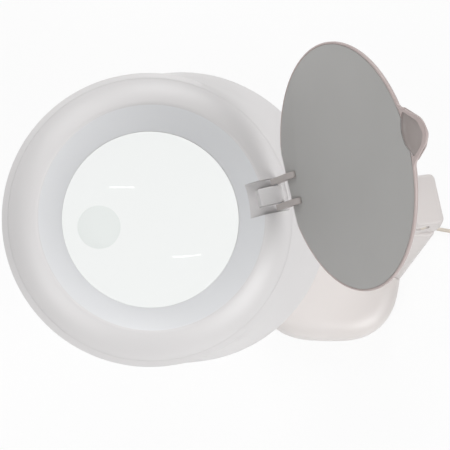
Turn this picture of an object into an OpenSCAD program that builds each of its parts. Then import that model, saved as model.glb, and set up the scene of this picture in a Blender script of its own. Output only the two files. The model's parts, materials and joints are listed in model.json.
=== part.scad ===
// Desk magnifying lamp: a weighted pebble base with a column at its back, a short
// folding arm, and a round lit head whose lens is closed by a flip-up cover.
// Millimetres, +Z up, origin at the middle of the base's underside.
// The column stands at +X and the head reaches out over -X.

/* [Base] */
// Depth of the base, front to back
base_depth = 130; // [110:1:170]
// Width of the base, side to side
base_width = 180; // [150:1:230]
// Height of the base above the table
base_height = 29; // [26:1:40]
// Squareness of the outline, where 2 is an ellipse
base_squareness = 3; // [2.4:0.1:4]
// Height of the rounding along the top edge
base_edge = 13; // [6:1:14]
// Rise of the crown in the middle of the top
base_crown = 2; // [0.5:0.5:4]
// Wall of the base cover
base_wall = 2.5; // [1.5:0.1:4]
// Thickness of the non-slip pad
pad_thick = 2; // [1:0.5:4]
// Thickness of the bottom plate
plate_thick = 2.5; // [2:0.1:4]
// Height of the iron weight
weight_height = 17; // [8:1:18]

/* [Column] */
// Distance of the swivel axis behind the base's middle
swivel_x = 46.8; // [42:0.2:47]
// Height of the column's top face
column_top = 107; // [90:1:150]
// Width of the column at its foot
column_foot_w = 76; // [60:1:80]
// Depth of the column at its foot
column_depth = 35; // [32:0.5:36]
// Lean of the column's back face away from the head
column_lean = 3.5; // [0:0.5:6]
// Width of the column at its top
column_top_w = 46; // [40:1:50]
// Radius of the column's upright corners
column_corner = 6; // [5:1:14]
// Wall of the column
column_wall = 2.8; // [2:0.1:4]
// Thickness of the column's top wall
column_roof = 6; // [5:0.5:9]

/* [Swivel] */
// Turn of the head away from straight ahead, at rest
swivel_yaw = 10.06; // [-30:0.1:30]
// Radius of the hollow swivel stud
stud_r = 7; // [6:0.5:8]
// Radius of the way for the wires through the stud
stud_way_r = 4; // [2.5:0.5:4.5]
// Width of the cap
cap_width = 44; // [42:0.5:50]
// Radius of the cap's upright corners
cap_corner = 4.5; // [4:0.5:8]
// Height of the cap's solid lower part
cap_block = 9.4; // [8:0.2:14]
// Height of the lid on the cap
lid_height = 9; // [7:0.5:12]
// Rounding of the lid's top edge
lid_round = 2.5; // [1.5:0.5:4]
// Wall of the lid
lid_wall = 2.2; // [1.6:0.1:3]

/* [Arm] */
// Distance of the lift pin in front of the swivel axis
lift_forward = 17; // [17:0.5:24]
// Height of the lift pin above the column's top face
lift_above = 13.5; // [13.5:0.5:18]
// Distance between the lift pin and the tilt pin
arm_length = 76.8; // [60:0.2:100]
// Slope of the arm above level, at rest
arm_rise = 51.1; // [25:0.1:60]
// Width of the arm's casing
arm_width = 21.4; // [18:0.2:26]
// Radius of the arm's end at the lift pin
lift_end_r = 12; // [10:0.2:12]
// Radius of the arm's end at the tilt pin
tilt_end_r = 11.2; // [9:0.2:11.2]
// Wall of the arm's casing
arm_wall = 2.2; // [1.6:0.1:3]
// Thickness of the steel bar inside the arm
spine_thick = 6; // [4:0.5:8]
// Radius of the lift and tilt pins
pivot_r = 3; // [2.5:0.25:4]
// Thickness of the ears on both sides of the arm
ear_thick = 7; // [4:0.5:8]
// Thickness of the friction washers
washer_thick = 0.5; // [0.3:0.1:1]
// Radius of the hand knobs
knob_r = 11; // [9:0.5:14]

/* [Head pose] */
// Rise of the head's axis towards the column, at rest
head_pitch = 1.6; // [-10:0.1:15]
// Roll of the head about its own axis, at rest
head_roll = 10.3; // [-30:0.1:30]
// Distance from the middle of the lens to the tilt pin
tilt_reach = 145.8; // [145.8:0.2:160]
// Depth of the roll axis below the crest of the ring
roll_drop = 33; // [32:0.5:34]

/* [Head] */
// Radius of the ring's crest, where the dish starts
crest_r = 77.5; // [74:0.5:80]
// Radius of the lens opening
opening_r = 61.6; // [58:0.2:61.8]
// Depth of the dish between crest and lens opening
dish_depth = 16.9; // [14:0.1:18]
// Outer radius of the ring
ring_r = 102.3; // [100:0.1:104]
// Depth of the ring's lower edge below its crest
ring_drop = 22; // [21:0.5:23]
// Wall of the ring and of the housing
head_wall = 2.5; // [2:0.1:3]
// Outer radius of the housing at its widest level
housing_r = 103.5; // [102:0.5:106]
// Distance that the housing's back circle lies behind the lens
housing_shift = 25; // [22:0.5:28]
// Level of the housing's underside below the crest
housing_depth = 52; // [50:0.5:56]
// Radius of the lens
lens_r = 63.5; // [62.5:0.1:64]
// Thickness of the lens at its edge
lens_edge = 3; // [2:0.1:4]
// Radius of curvature of the lens faces
lens_curve = 346; // [250:1:600]
// Radius of the small strong lens
inset_r = 15; // [10:0.5:18]
// Distance of the small lens from the middle
inset_offset = 36; // [30:0.5:44]
// Radius of curvature of the small lens
inset_curve = 41; // [30:1:60]
// Number of light-emitting diodes
led_count = 36; // [24:12:48]
// Radius of the push button
button_r = 8; // [6:0.5:9]
// Travel of the push button
button_travel = 0.9; // [0.5:0.1:1.2]

/* [Cover] */
// Radius of the cover disc
cover_r = 78.6; // [76:0.2:80]
// Sideways place of the cover disc from the hinge
cover_side = 1.5; // [-4:0.5:4]
// Thickness of the cover's white shell
cover_thick = 2.3; // [1.8:0.1:3]
// Thickness of the grey inner sheet
liner_thick = 0.5; // [0.3:0.1:0.8]
// Distance of the hinge pin from the middle of the lens
hinge_x = 88.2; // [86:0.1:90]
// Depth of the hinge pin below the crest
hinge_drop = 0.8; // [0.4:0.1:1.5]
// Sideways place of the hinge
hinge_side = -3; // [-6:0.5:6]
// Turn of the hinge against the head's axis
hinge_yaw = 3.9; // [-6:0.1:6]
// Opening angle of the cover, at rest
cover_open = 106.7; // [0:0.1:120]
// Radius of the hinge pin
hinge_pin_r = 1.25; // [1:0.05:1.5]
// Width of the block between the cover's two arms
tongue_w = 12; // [9:0.5:13]
// Width of the pocket for the hinge
pocket_w = 24; // [23:0.5:28]
// Radius of the finger tab
tab_r = 12.7; // [11:0.1:18]
// Distance of the tab's middle beyond the disc's edge
tab_reach = 6.1; // [2:0.1:8]
// Sideways place of the finger tab from the hinge
tab_side = 5.6; // [-12:0.2:12]

/* [Lead] */
// Diameter of the low-voltage lead
lead_d = 3.3; // [2.8:0.1:3.6]
// Radius of the coil at the middle of its turns
coil_r = 19.8; // [16:0.2:20]
// Turns side by side in the coil
coil_columns = 3; // [3:1:4]
// Layers of turns in the coil
coil_layers = 4; // [4:2:6]

/* [Hidden] */
$fn = 64;

slip = 0.05;          // radial running clearance of pins and studs
seat_gap = 0.2;       // gap between flat faces that slide on each other
seam = 0.1;           // gap between two halves of a casing
slice = 0.01;         // thickness of a slice that only shapes a hull
outline_steps = 72;   // points around the base's outline
egg_steps = 96;       // points around the housing's outline
over = 1;             // how far a cut runs past the face that it leaves

floor_z = pad_thick + plate_thick;
edge_inset = 1.25 * base_edge;
crown_inset = 38;
pad_inset = 5;
weight_inset = 9.5;
screw_r = 1.5;
screw_head_r = 2.8;
screw_head_h = 1.8;
boss_r = 4;

column_x = swivel_x + 0.5;
column_open_z = 20;
foot_w = column_foot_w - 8;
foot_depth = column_depth - 7;
foot_x = column_x - 2.5;

bush_r = stud_r + 3;
bush_flange_r = bush_r + 3;
bush_flange_h = 1.5;
bush_proud = 0.3;
cap_z = column_top + bush_proud + 0.3;
lid_z = cap_z + cap_block;
cap_back = column_depth / 2 + column_lean;
cap_front = lift_forward - lift_end_r - 0.8;
nut_h = 5.5;

lift_z = column_top + lift_above;
arm_half = arm_width / 2;
ear_in = arm_half + washer_thick + seat_gap;
ear_out = ear_in + ear_thick;
cap_half = cap_width / 2;
lid_lean = 1.5;
knob_h = 11;

tilt_x = -lift_forward - arm_length * cos(arm_rise);
tilt_z = lift_z + arm_length * sin(arm_rise);
stub_r = 8;
stub_way_r = 4;
collar_r = 12.5;
collar_back = 129.6;
collar_front = 104;
flange_front = collar_back + seat_gap;
flange_thick = 4;

lens_mid = dish_depth + 4.1;
lens_top = lens_mid - lens_edge / 2;
lens_bottom = lens_mid + lens_edge / 2;
lens_flat_r = opening_r - 0.2;
gasket_thick = 0.5;
well_top = lens_bottom + gasket_thick;
well_top_r = opening_r + 0.6;
well_low_r = well_top_r + 4.8;
well_wall = 2;
floor_level = housing_depth - head_wall;
window_in = 71;
window_out = 84.5;
board_in = 68.5;
board_out = 85.2;
board_thick = 1.6;
board_level = 38;
led_r = (window_in + window_out) / 2;
post_r = 2.5;
post_angles = [45, 135, 225, 315];
head_screw_r = 90;
head_screw_angles = [25, 155, 205, 335];
pilot_top = 12;

crease_r = 96.5;
crease_level = 10;
shoulder_level = 33;
shoulder_low = 38;

hinge_eye_r = 3.6;
arm_eye_r = 3.2;
arm_gap = 0.9;
arm_thick = 4.2;
hinge_arm_in = tongue_w / 2 + arm_gap;
hinge_arm_out = hinge_arm_in + arm_thick;
pocket_floor = 9.6;
bezel_r = crest_r - 0.5;
lip_r = bezel_r + 3.5;
lip_top = head_wall + 0.3;
lip_thick = 1.5;
lip_gap = 0.05;
pocket_front = 68.5;
pocket_back = hinge_x + 7.8;
tongue_front = hinge_x - 13.7;
cover_lift = 0.4;
cover_flat = 4;
cover_arm_end = 60;
liner_inset = 1.4;
tab_rise = 6;
tab_wall = 2.2;

button_turn = 16;
shoulder_reach = housing_shift * cos(button_turn)
    + sqrt(pow(housing_r, 2) - pow(housing_shift * sin(button_turn), 2));
shoulder_slope = atan2(shoulder_level - crease_level, shoulder_reach - crease_r);
button_reach = 112;
button_level = crease_level
    + (button_reach - crease_r) * tan(shoulder_slope);
button_stem_r = 5;
button_proud = 1.4;

lead_r = lead_d / 2;
lead_sides = 8;
grip_y = 15;
grip_z = 9;
grip_length = 20;
tie_thick = 0.7;
coil_centre = [148.2, -12.8];
coil_low = tie_thick;
coil_half = coil_columns * lead_d / 2;
coil_high = coil_low + coil_layers * lead_d;
adapter_low = [140, -112];
adapter_size = [40, 60, 26];
adapter_grip_x = 168;
adapter_grip_z = 9;

// Route of the lead from its grip to the coil, and from the coil to the adapter
lead_route = [
    [83, 15, 9], [87, 15, 8.6], [91, 14.7, 7.2], [95, 14.2, 5.2], [99, 13.6, 3.4],
    [103, 13, 2.2], [107, 12.4, 1.8], [112, 11.7, 1.8], [117, 11.1, 1.8],
    [122, 10.6, 1.9], [127, 10.4, 2.1], [131, 10.3, 2.3], [134.5, 10.3, 2.35]
];
tail_route = [
    [171.1, -26.5, 11.8], [170.8, -30, 11.2], [170, -34, 10.2],
    [169, -39, 9.4], [168.2, -43, 9], [168, -46, 9]
];
// Inner lead that loops past the slot in the lid, from the lid's lower face
cap_route = [
    [0, 1, -8], [0, 0.6, -3], [0.3, -0.6, 0], [1.2, -3, 2.2], [3, -8, 2.8],
    [5.6, -13.5, 2.4], [7.2, -17, 1.9], [6.8, -19.4, 1.6], [4.8, -20.4, 1.5],
    [2.8, -19.2, 1.6], [1.9, -16.4, 2], [2.4, -13.6, 2.4]
];

WHITE = [0.93, 0.92, 0.91];
GREY = [0.62, 0.62, 0.61];
BEIGE = [0.83, 0.79, 0.72];
STEEL = [0.72, 0.73, 0.75];
IRON = [0.28, 0.28, 0.3];
RUBBER = [0.2, 0.2, 0.21];
BOARD = [0.93, 0.94, 0.9];

// ---- Shapes shared by several pieces ----

// Outline of the base with the given half sizes
function pebble_outline(half_x, half_y) =
    [for (i = [0:outline_steps - 1])
        let (t = i * 360 / outline_steps, c = cos(t), s = sin(t))
            [half_x * sign(c) * pow(abs(c), 2 / base_squareness),
             half_y * sign(s) * pow(abs(s), 2 / base_squareness)]];

module pebble_slice(inset, z, thick = slice)
    translate([0, 0, z])
        linear_extrude(thick)
            polygon(pebble_outline(base_depth / 2 - inset, base_width / 2 - inset));

// Closed solid through a stack of outlines with as many points each, lowest first
module loft(rings) {
    count = len(rings[0]);
    walls = [for (i = [0:len(rings) - 2], k = [0:count - 1])
        let (next = (k + 1) % count, low = i * count, high = low + count)
            each [[low + k, high + k, high + next], [low + k, high + next, low + next]]];
    bottom = [for (k = [0:count - 1]) k];
    top = [for (k = [1:count]) len(rings) * count - k];
    polyhedron([for (ring = rings) each ring], concat([bottom], walls, [top]));
}

function raised(outline, z) = [for (p = outline) [p[0], p[1], z]];
function base_ring(inset, z) =
    raised(pebble_outline(base_depth / 2 - inset, base_width / 2 - inset), z);

// Solid of the base, shrunk by a wall on all sides but its open underside
module pebble(wall, low) {
    edge_low = base_height - base_crown - base_edge - wall;
    loft(concat(
        [base_ring(wall + 1.5, low), base_ring(wall, low + 3)],
        [for (a = [0:18:90])
            base_ring(wall + edge_inset * (1 - cos(a)), edge_low + base_edge * sin(a))],
        [base_ring(crown_inset, base_height - wall)]));
}

// Upright slab with rounded corners, centred on X and Y
module rounded_slab(size_x, size_y, corner, thick)
    linear_extrude(thick)
        offset(r = corner, $fn = 32)
            square([size_x - 2 * corner, size_y - 2 * corner], center = true);

// Tapered body of the column, grown on all sides
module column_body(grow, low, high)
    hull() {
        translate([column_x, 0, low])
            rounded_slab(column_depth + 0.6 + 2 * grow, column_foot_w + 2 * grow,
                column_corner, slice);
        translate([column_x + column_lean / 2, 0, high - slice])
            rounded_slab(column_depth + column_lean + 2 * grow, column_top_w + 2 * grow,
                column_corner, slice);
    }

// Round tube swept along a route
function unit(v) = v / norm(v);
function heading(route, i) =
    unit(route[min(i + 1, len(route) - 1)] - route[max(i - 1, 0)]);
module swept_tube(route, r, sides) {
    rings = len(route);
    points = [for (i = [0:rings - 1])
        let (ahead = heading(route, i), side = unit(cross(ahead, [0, 0, 1])),
             up = cross(side, ahead))
            for (k = [0:sides - 1])
                route[i] + r * (cos(k * 360 / sides) * side + sin(k * 360 / sides) * up)];
    walls = [for (i = [0:rings - 2], k = [0:sides - 1])
        let (next = (k + 1) % sides)
            [i * sides + k, i * sides + next, (i + 1) * sides + next, (i + 1) * sides + k]];
    start_cap = [for (k = [0:sides - 1]) sides - 1 - k];
    end_cap = [for (k = [0:sides - 1]) (rings - 1) * sides + k];
    polyhedron(points, concat([start_cap], walls, [end_cap]));
}

// Cylinder along Y between two places
module y_rod(r, from, to)
    translate([0, from, 0])
        rotate([-90, 0, 0])
            cylinder(h = to - from, r = r);

// Cylinder along X between two places
module x_rod(r, from, to)
    translate([from, 0, 0])
        rotate([0, 90, 0])
            cylinder(h = to - from, r = r);

// Countersunk screw that points up, its head's underside at z
module screw(z, length) {
    translate([0, 0, z])
        cylinder(h = length, r = screw_r);
    translate([0, 0, z - screw_head_h])
        difference() {
            cylinder(h = screw_head_h, r = screw_head_r);
            for (a = [0, 90])
                rotate(a)
                    cube([3.2, 0.7, 1.6], center = true);
        }
}

// Places of the child pieces: on the swivel, on the arm, on the yoke, on the head
module on_swivel()
    translate([swivel_x, 0, 0])
        rotate([0, 0, swivel_yaw])
            children();

module on_arm()
    on_swivel()
        translate([-lift_forward, 0, lift_z])
            rotate([0, 180 + arm_rise, 0])
                children();

module on_head()
    on_swivel()
        translate([tilt_x, 0, tilt_z])
            rotate([0, -head_pitch, 0])
                rotate([head_roll, 0, 0])
                    translate([-tilt_reach, 0, roll_drop])
                        children();

module on_yoke()
    on_swivel()
        translate([tilt_x, 0, tilt_z])
            rotate([0, -head_pitch, 0])
                translate([-tilt_reach, 0, 0])
                    children();

module on_hinge()
    on_head()
        rotate([0, 0, hinge_yaw])
            translate([0, hinge_side, 0])
                children();

// The closed cover's own place, turned open about the hinge pin
module on_cover()
    on_hinge()
        translate([hinge_x, 0, -hinge_drop])
            rotate([0, cover_open, 0])
                translate([-hinge_x, 0, hinge_drop])
                    children();

module around(radius, angles)
    for (a = angles)
        rotate(a)
            translate([radius, 0, 0])
                children();

// ---- Base ----

base_screw_places = [[-42, -62], [-42, 62], [34, -66], [34, 66]];
column_screw_places = [for (sx = [-1, 1], sy = [-1, 1])
    [foot_x + sx * (foot_depth / 2 - 6), sy * (foot_w / 2 - 7)]];

module at_screws(places)
    for (p = places)
        translate([p[0], p[1], 0])
            children();

module base_pad()
    color(RUBBER)
        difference() {
            pebble_slice(pad_inset, 0, pad_thick);
            at_screws(concat(base_screw_places, column_screw_places))
                translate([0, 0, -over])
                    cylinder(h = pad_thick + 2 * over, r = screw_head_r + 0.7);
        }

module base_plate()
    color(IRON)
        difference() {
            pebble_slice(base_wall + 1.8, pad_thick, plate_thick);
            at_screws(concat(base_screw_places, column_screw_places)) {
                translate([0, 0, pad_thick - over])
                    cylinder(h = plate_thick + 2 * over, r = screw_r + 0.2);
                translate([0, 0, pad_thick - over])
                    cylinder(h = screw_head_h - 0.6 + over, r = screw_head_r + 0.2);
            }
        }

module base_weight()
    color(IRON)
        difference() {
            pebble_slice(weight_inset, floor_z, weight_height);
            translate([foot_x - foot_depth / 2 - 3, -column_foot_w / 2 - 3, 0])
                cube([base_depth, column_foot_w + 6, base_height]);
            at_screws(base_screw_places)
                cylinder(h = base_height, r = boss_r + 0.5);
        }

module base_cover()
    color(WHITE)
        difference() {
            union() {
                difference() {
                    pebble(0, pad_thick);
                    pebble(base_wall, pad_thick - over);
                }
                at_screws(base_screw_places)
                    translate([0, 0, floor_z])
                        cylinder(h = base_height - base_wall - 1 - floor_z, r = boss_r);
            }
            column_body(seat_gap + 0.3, column_open_z - 2, column_top);
            at_screws(base_screw_places)
                translate([0, 0, floor_z - over])
                    cylinder(h = 14 + over, r = screw_r);
            translate([0, grip_y, grip_z])
                x_rod(4.1, base_depth / 2 - 10, base_depth / 2 + 10);
        }

module base_screws()
    color(STEEL)
        at_screws(base_screw_places)
            screw(pad_thick + screw_head_h - 0.6, 13);

// ---- Column ----

module column_shell()
    color(WHITE)
        difference() {
            union() {
                column_body(0, column_open_z, column_top);
                translate([foot_x, 0, floor_z])
                    rounded_slab(foot_depth, foot_w, 6, column_open_z + 2 - floor_z);
            }
            column_body(-column_wall, column_open_z + 4, column_top - column_roof);
            difference() {
                translate([foot_x, 0, floor_z - over])
                    rounded_slab(foot_depth - 2 * column_wall, foot_w - 2 * column_wall,
                        4, column_open_z + 5 - floor_z + over);
                at_screws(column_screw_places)
                    cylinder(h = column_open_z + 6, r = boss_r);
            }
            at_screws(column_screw_places)
                translate([0, 0, floor_z - over])
                    cylinder(h = 12 + over, r = screw_r);
            translate([swivel_x, 0, column_top - column_roof - over])
                cylinder(h = column_roof + 2 * over, r = bush_r);
            translate([0, grip_y, grip_z])
                x_rod(2.2, foot_x, base_depth);
        }

module column_screws()
    color(STEEL)
        at_screws(column_screw_places)
            screw(pad_thick + screw_head_h - 0.6, 12);

module swivel_bush()
    color("ivory")
        translate([swivel_x, 0, 0])
            difference() {
                union() {
                    translate([0, 0, column_top - column_roof])
                        cylinder(h = column_roof + bush_proud, r = bush_r);
                    translate([0, 0, column_top - column_roof - bush_flange_h])
                        cylinder(h = bush_flange_h, r = bush_flange_r);
                }
                translate([0, 0, column_top - 2 * column_roof])
                    cylinder(h = 3 * column_roof, r = stud_r + slip);
            }

// ---- Lead and plug-in adapter ----

module cord_grip()
    color(BEIGE)
        translate([0, grip_y, grip_z])
            difference() {
                union() {
                    x_rod(4, base_depth / 2 - 4, base_depth / 2 + 1.2);
                    x_rod(5.2, base_depth / 2 + 0.3, base_depth / 2 + 2);
                    translate([base_depth / 2 + 2, 0, 0])
                        rotate([0, 90, 0])
                            cylinder(h = 83 - base_depth / 2 - 2, r1 = 3.6, r2 = 2.3);
                }
                x_rod(lead_r, 0, 82);
            }

module cord_lead()
    color(BEIGE)
        swept_tube(lead_route, lead_r, lead_sides);

module cord_coil()
    color(BEIGE)
        translate([coil_centre[0], coil_centre[1], 0])
            rotate_extrude()
                translate([coil_r - coil_half, coil_low])
                    square([2 * coil_half, coil_high - coil_low]);

module cord_tail()
    color(BEIGE)
        swept_tube(tail_route, lead_r, lead_sides);

module cord_tie()
    color(RUBBER)
        translate([coil_centre[0], coil_centre[1], 0])
            rotate(-135)
                translate([coil_r - coil_half, -2.5, 0])
                    difference() {
                        translate([-tie_thick, 0, 0])
                            cube([2 * coil_half + 2 * tie_thick, 5, coil_high + tie_thick]);
                        translate([-0.4, -over, coil_low])
                            cube([2 * coil_half + 0.5, 5 + 2 * over, coil_high - coil_low]);
                    }

module adapter_body()
    color(RUBBER)
        translate([adapter_low[0], adapter_low[1], 0]) {
            translate([adapter_size[0] / 2, adapter_size[1] / 2, 0])
                rounded_slab(adapter_size[0], adapter_size[1], 5, adapter_size[2]);
            translate([adapter_grip_x - adapter_low[0], adapter_size[1] - 1, adapter_grip_z])
                rotate([-90, 0, 0])
                    cylinder(h = -46 - adapter_low[1] - adapter_size[1] + 1, r1 = 4.5, r2 = 2.4);
        }

module adapter_pins()
    color(STEEL)
        translate([adapter_low[0] + adapter_size[0] / 2, adapter_low[1], adapter_size[2] / 2])
            for (side = [-1, 1])
                translate([side * 9.5, 0, 0])
                    y_rod(2, -19, 0);

// ---- Swivel ----

// One ear beside the arm's lift end, joined to the cap
module cap_ear(side)
    translate([-lift_forward, side > 0 ? ear_out : -ear_in, lift_z])
        rotate([90, 0, 0])
            linear_extrude(ear_thick)
                union() {
                    circle(r = lift_end_r + 0.5);
                    translate([0, cap_z - lift_z])
                        square([lift_forward + 6, cap_block]);
                    translate([0, cap_z - lift_z])
                        square([lift_forward - cap_front, lid_z + lid_height - 3 - cap_z]);
                }

module swivel_cap()
    color(WHITE)
        on_swivel()
            difference() {
                union() {
                    translate([(cap_back - cap_front) / 2, 0, cap_z])
                        rounded_slab(cap_back + cap_front, 2 * cap_half, cap_corner, cap_block);
                    for (side = [-1, 1])
                        cap_ear(side);
                }
                translate([0, 0, cap_z - over])
                    cylinder(h = cap_block + 2 * over, r = stud_r + 0.02);
                translate([-lift_forward, 0, lift_z])
                    y_rod(pivot_r, -ear_out - over, ear_out + over);
                translate([-lift_forward, 0, lift_z])
                    y_rod(lift_end_r + 0.6, -ear_in, ear_in);
            }

// Rounded block of the lid
module lid_block(shrink, low, high)
    hull() {
        translate([(cap_back - cap_front) / 2, 0, low])
            rounded_slab(cap_back + cap_front - 2 * shrink, 2 * (cap_half - shrink),
                cap_corner, slice);
        for (a = [0:30:90]) {
            inset = shrink + lid_round * (1 - cos(a));
            translate([(cap_back - cap_front) / 2, 0, high - lid_round * (1 - sin(a)) - slice])
                rounded_slab(cap_back + cap_front - 2 * inset,
                    2 * (cap_half - lid_lean - inset), cap_corner, slice);
        }
    }

module swivel_lid()
    color(WHITE)
        on_swivel()
            difference() {
                lid_block(0, lid_z + seam, lid_z + lid_height);
                lid_block(lid_wall, lid_z - over, lid_z + lid_height - lid_wall);
                translate([-2, -cap_half - over, lid_z - over])
                    cube([11, lid_wall + 3, 3.4 + over]);
            }

module swivel_stud()
    color(STEEL)
        on_swivel()
            difference() {
                translate([0, 0, column_top - column_roof - 9])
                    cylinder(h = column_roof + 9 + cap_z - column_top + cap_block, r = stud_r);
                translate([0, 0, column_top - 30])
                    cylinder(h = 60, r = stud_way_r);
                translate([-lift_forward, 0, lift_z])
                    y_rod(lift_end_r + 0.6, -ear_in, ear_in);
            }

washer_top = column_top - column_roof - bush_flange_h - seat_gap;

module swivel_washer()
    color(STEEL)
        on_swivel()
            translate([0, 0, washer_top - 1])
                difference() {
                    cylinder(h = 1, r = stud_r + 4.5);
                    translate([0, 0, -over])
                        cylinder(h = 1 + 2 * over, r = stud_r);
                }

module swivel_nut()
    color(STEEL)
        on_swivel()
            translate([0, 0, washer_top - 1 - nut_h])
                difference() {
                    cylinder(h = nut_h, r = stud_r + 4, $fn = 6);
                    translate([0, 0, -over])
                        cylinder(h = nut_h + 2 * over, r = stud_r);
                }

module cap_lead()
    color(BEIGE)
        on_swivel()
            translate([0, 0, lid_z])
                swept_tube(cap_route, 1.3, lead_sides);

// Pin with a domed head at -Y, between the outsides of two ears
module pivot_pin() {
    y_rod(pivot_r, -ear_out, ear_out + 5);
    y_rod(pivot_r + 2.5, -ear_out - 2, -ear_out);
}

// Hand knob with eight grips on the +Y side
module hand_knob()
    difference() {
        union() {
            y_rod(pivot_r + 4, ear_out + 0.3, ear_out + 3);
            y_rod(knob_r, ear_out + 3, ear_out + knob_h);
        }
        y_rod(pivot_r, ear_out, ear_out + 5);
        for (a = [0:45:315])
            rotate([0, a, 0])
                translate([knob_r + 1.2, 0, 0])
                    y_rod(3, ear_out + 2, ear_out + knob_h + over);
    }

module lift_pin()
    color(STEEL)
        on_swivel()
            translate([-lift_forward, 0, lift_z])
                pivot_pin();

module lift_knob()
    color(WHITE)
        on_swivel()
            translate([-lift_forward, 0, lift_z])
                hand_knob();

// ---- Arm: local +X runs from the lift pin to the tilt pin ----

arm_screw_places = [arm_length * 0.34, arm_length * 0.64];

// Side outline of the arm, shrunk by a wall
module arm_outline(shrink) {
    circle(r = lift_end_r - shrink);
    translate([arm_length, 0])
        circle(r = tilt_end_r - shrink);
    polygon([
        [0, lift_end_r - shrink], [arm_length, tilt_end_r - shrink],
        [arm_length, shrink - tilt_end_r], [0, shrink - lift_end_r]]);
}

module arm_plate(shrink, from, to)
    translate([0, to, 0])
        rotate([90, 0, 0])
            linear_extrude(to - from)
                arm_outline(shrink);

module at_pivots()
    for (x = [0, arm_length])
        translate([x, 0, 0])
            children();

// Half of the casing on the +Y side of the arm
module arm_half_shell()
    difference() {
        union() {
            difference() {
                arm_plate(0, seam / 2, arm_half);
                arm_plate(arm_wall, -over, arm_half - arm_wall);
            }
            at_pivots()
                y_rod(pivot_r + 3.5, spine_thick / 2 + 0.1, arm_half - 1);
            for (x = arm_screw_places)
                translate([x, 0, 0])
                    y_rod(boss_r, spine_thick / 2 + 0.1, arm_half - 1);
        }
        at_pivots()
            y_rod(pivot_r + slip, -over, arm_half + over);
        for (x = arm_screw_places)
            translate([x, 0, 0])
                y_rod(screw_r, -over, arm_half - 3);
    }

module arm_left()
    color(WHITE)
        on_arm()
            arm_half_shell();

module arm_right()
    color(WHITE)
        on_arm()
            difference() {
                mirror([0, 1, 0])
                    arm_half_shell();
                for (x = arm_screw_places)
                    translate([x, 0, 0]) {
                        y_rod(screw_r, -arm_half - over, 0);
                        y_rod(screw_head_r + 0.2, -arm_half - over, -arm_half + 2);
                    }
            }

module arm_spine()
    color(STEEL)
        on_arm()
            difference() {
                union() {
                    at_pivots()
                        y_rod(8, -spine_thick / 2, spine_thick / 2);
                    translate([0, -spine_thick / 2, -7])
                        cube([arm_length, spine_thick, 14]);
                }
                at_pivots()
                    y_rod(pivot_r + slip, -spine_thick, spine_thick);
                for (x = arm_screw_places)
                    translate([x, 0, 0])
                        y_rod(screw_r, -spine_thick, spine_thick);
            }

module arm_screws()
    color(STEEL)
        on_arm()
            for (x = arm_screw_places)
                translate([x, 0, 0]) {
                    y_rod(screw_r, -arm_half + 2, arm_half - 3);
                    y_rod(screw_head_r, -arm_half + 0.2, -arm_half + 2);
                }

module arm_washers()
    color("ivory")
        on_arm()
            at_pivots()
                for (side = [0, 1])
                    mirror([0, side, 0])
                        difference() {
                            y_rod(pivot_r + 5, arm_half, arm_half + washer_thick);
                            y_rod(pivot_r + slip, 0, arm_half + over);
                        }

// ---- Yoke: X along the head's axis, level with the roll axis ----

module yoke_ear(side)
    translate([tilt_reach, side > 0 ? ear_out : -ear_in, 0])
        rotate([90, 0, 0])
            linear_extrude(ear_thick) {
                circle(r = tilt_end_r + 0.4);
                translate([flange_front - tilt_reach, -tilt_end_r - 0.4])
                    square([tilt_reach - flange_front, 2 * tilt_end_r + 0.8]);
            }

module head_yoke()
    color(WHITE)
        on_yoke()
            difference() {
                union() {
                    translate([flange_front, -ear_out, -tilt_end_r - 0.4])
                        cube([flange_thick, 2 * ear_out, 2 * tilt_end_r + 0.8]);
                    for (side = [-1, 1])
                        yoke_ear(side);
                    x_rod(stub_r, collar_front - 8, flange_front + 1);
                }
                x_rod(stub_way_r, collar_front - 9, flange_front + flange_thick + over);
                translate([tilt_reach, 0, 0])
                    y_rod(pivot_r, -ear_out - over, ear_out + over);
            }

module roll_nut()
    color(STEEL)
        on_yoke()
            difference() {
                x_rod(stub_r + 2.6, collar_front - 6, collar_front - seat_gap);
                x_rod(stub_r, collar_front - 7, collar_front + over);
            }

module tilt_pin()
    color(STEEL)
        on_yoke()
            translate([tilt_reach, 0, 0])
                pivot_pin();

module tilt_knob()
    color(WHITE)
        on_yoke()
            translate([tilt_reach, 0, 0])
                hand_knob();

// ---- Head: Z along the lens axis, level 0 at the ring's crest ----

// Points of the ring's sloping outer face, from the crest outwards
function bezier(a, b, c, d, t) =
    pow(1 - t, 3) * a + 3 * pow(1 - t, 2) * t * b + 3 * (1 - t) * t * t * c + t * t * t * d;
ring_slope = [for (k = [0:10])
    bezier([crest_r + 1, 0], [crest_r + 10.5, -1], [ring_r - 1.3, -10], [ring_r, -ring_drop + 1.5],
        k / 10)];
ring_slope_in = [for (k = [10:-1:0])
    bezier([crest_r + 1, -head_wall], [crest_r + 9.5, -1 - head_wall],
        [ring_r - 1.3 - head_wall, -11], [ring_r - head_wall, -ring_drop], k / 10)];

module ring_profile()
    polygon(concat(
        [[opening_r, -dish_depth], [crest_r, -0.5]],
        ring_slope,
        [[ring_r, -ring_drop]],
        ring_slope_in,
        [[crest_r - 1, -head_wall - 1.2], [lens_r + 2.2, -dish_depth],
         [lens_r + 2.2, -lens_bottom], [lens_r + 0.2, -lens_bottom],
         [lens_r + 0.2, -lens_top + 0.1], [opening_r, -lens_top + 0.1]]));

// Everything under the ring's outer face, and the seam around it
module ring_envelope(low)
    rotate_extrude($fn = 128)
        polygon(concat(
            [[0, 0]], [for (p = ring_slope) [p[0] + seam, p[1]]],
            [[ring_r + seam, -low], [0, -low]]));

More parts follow.
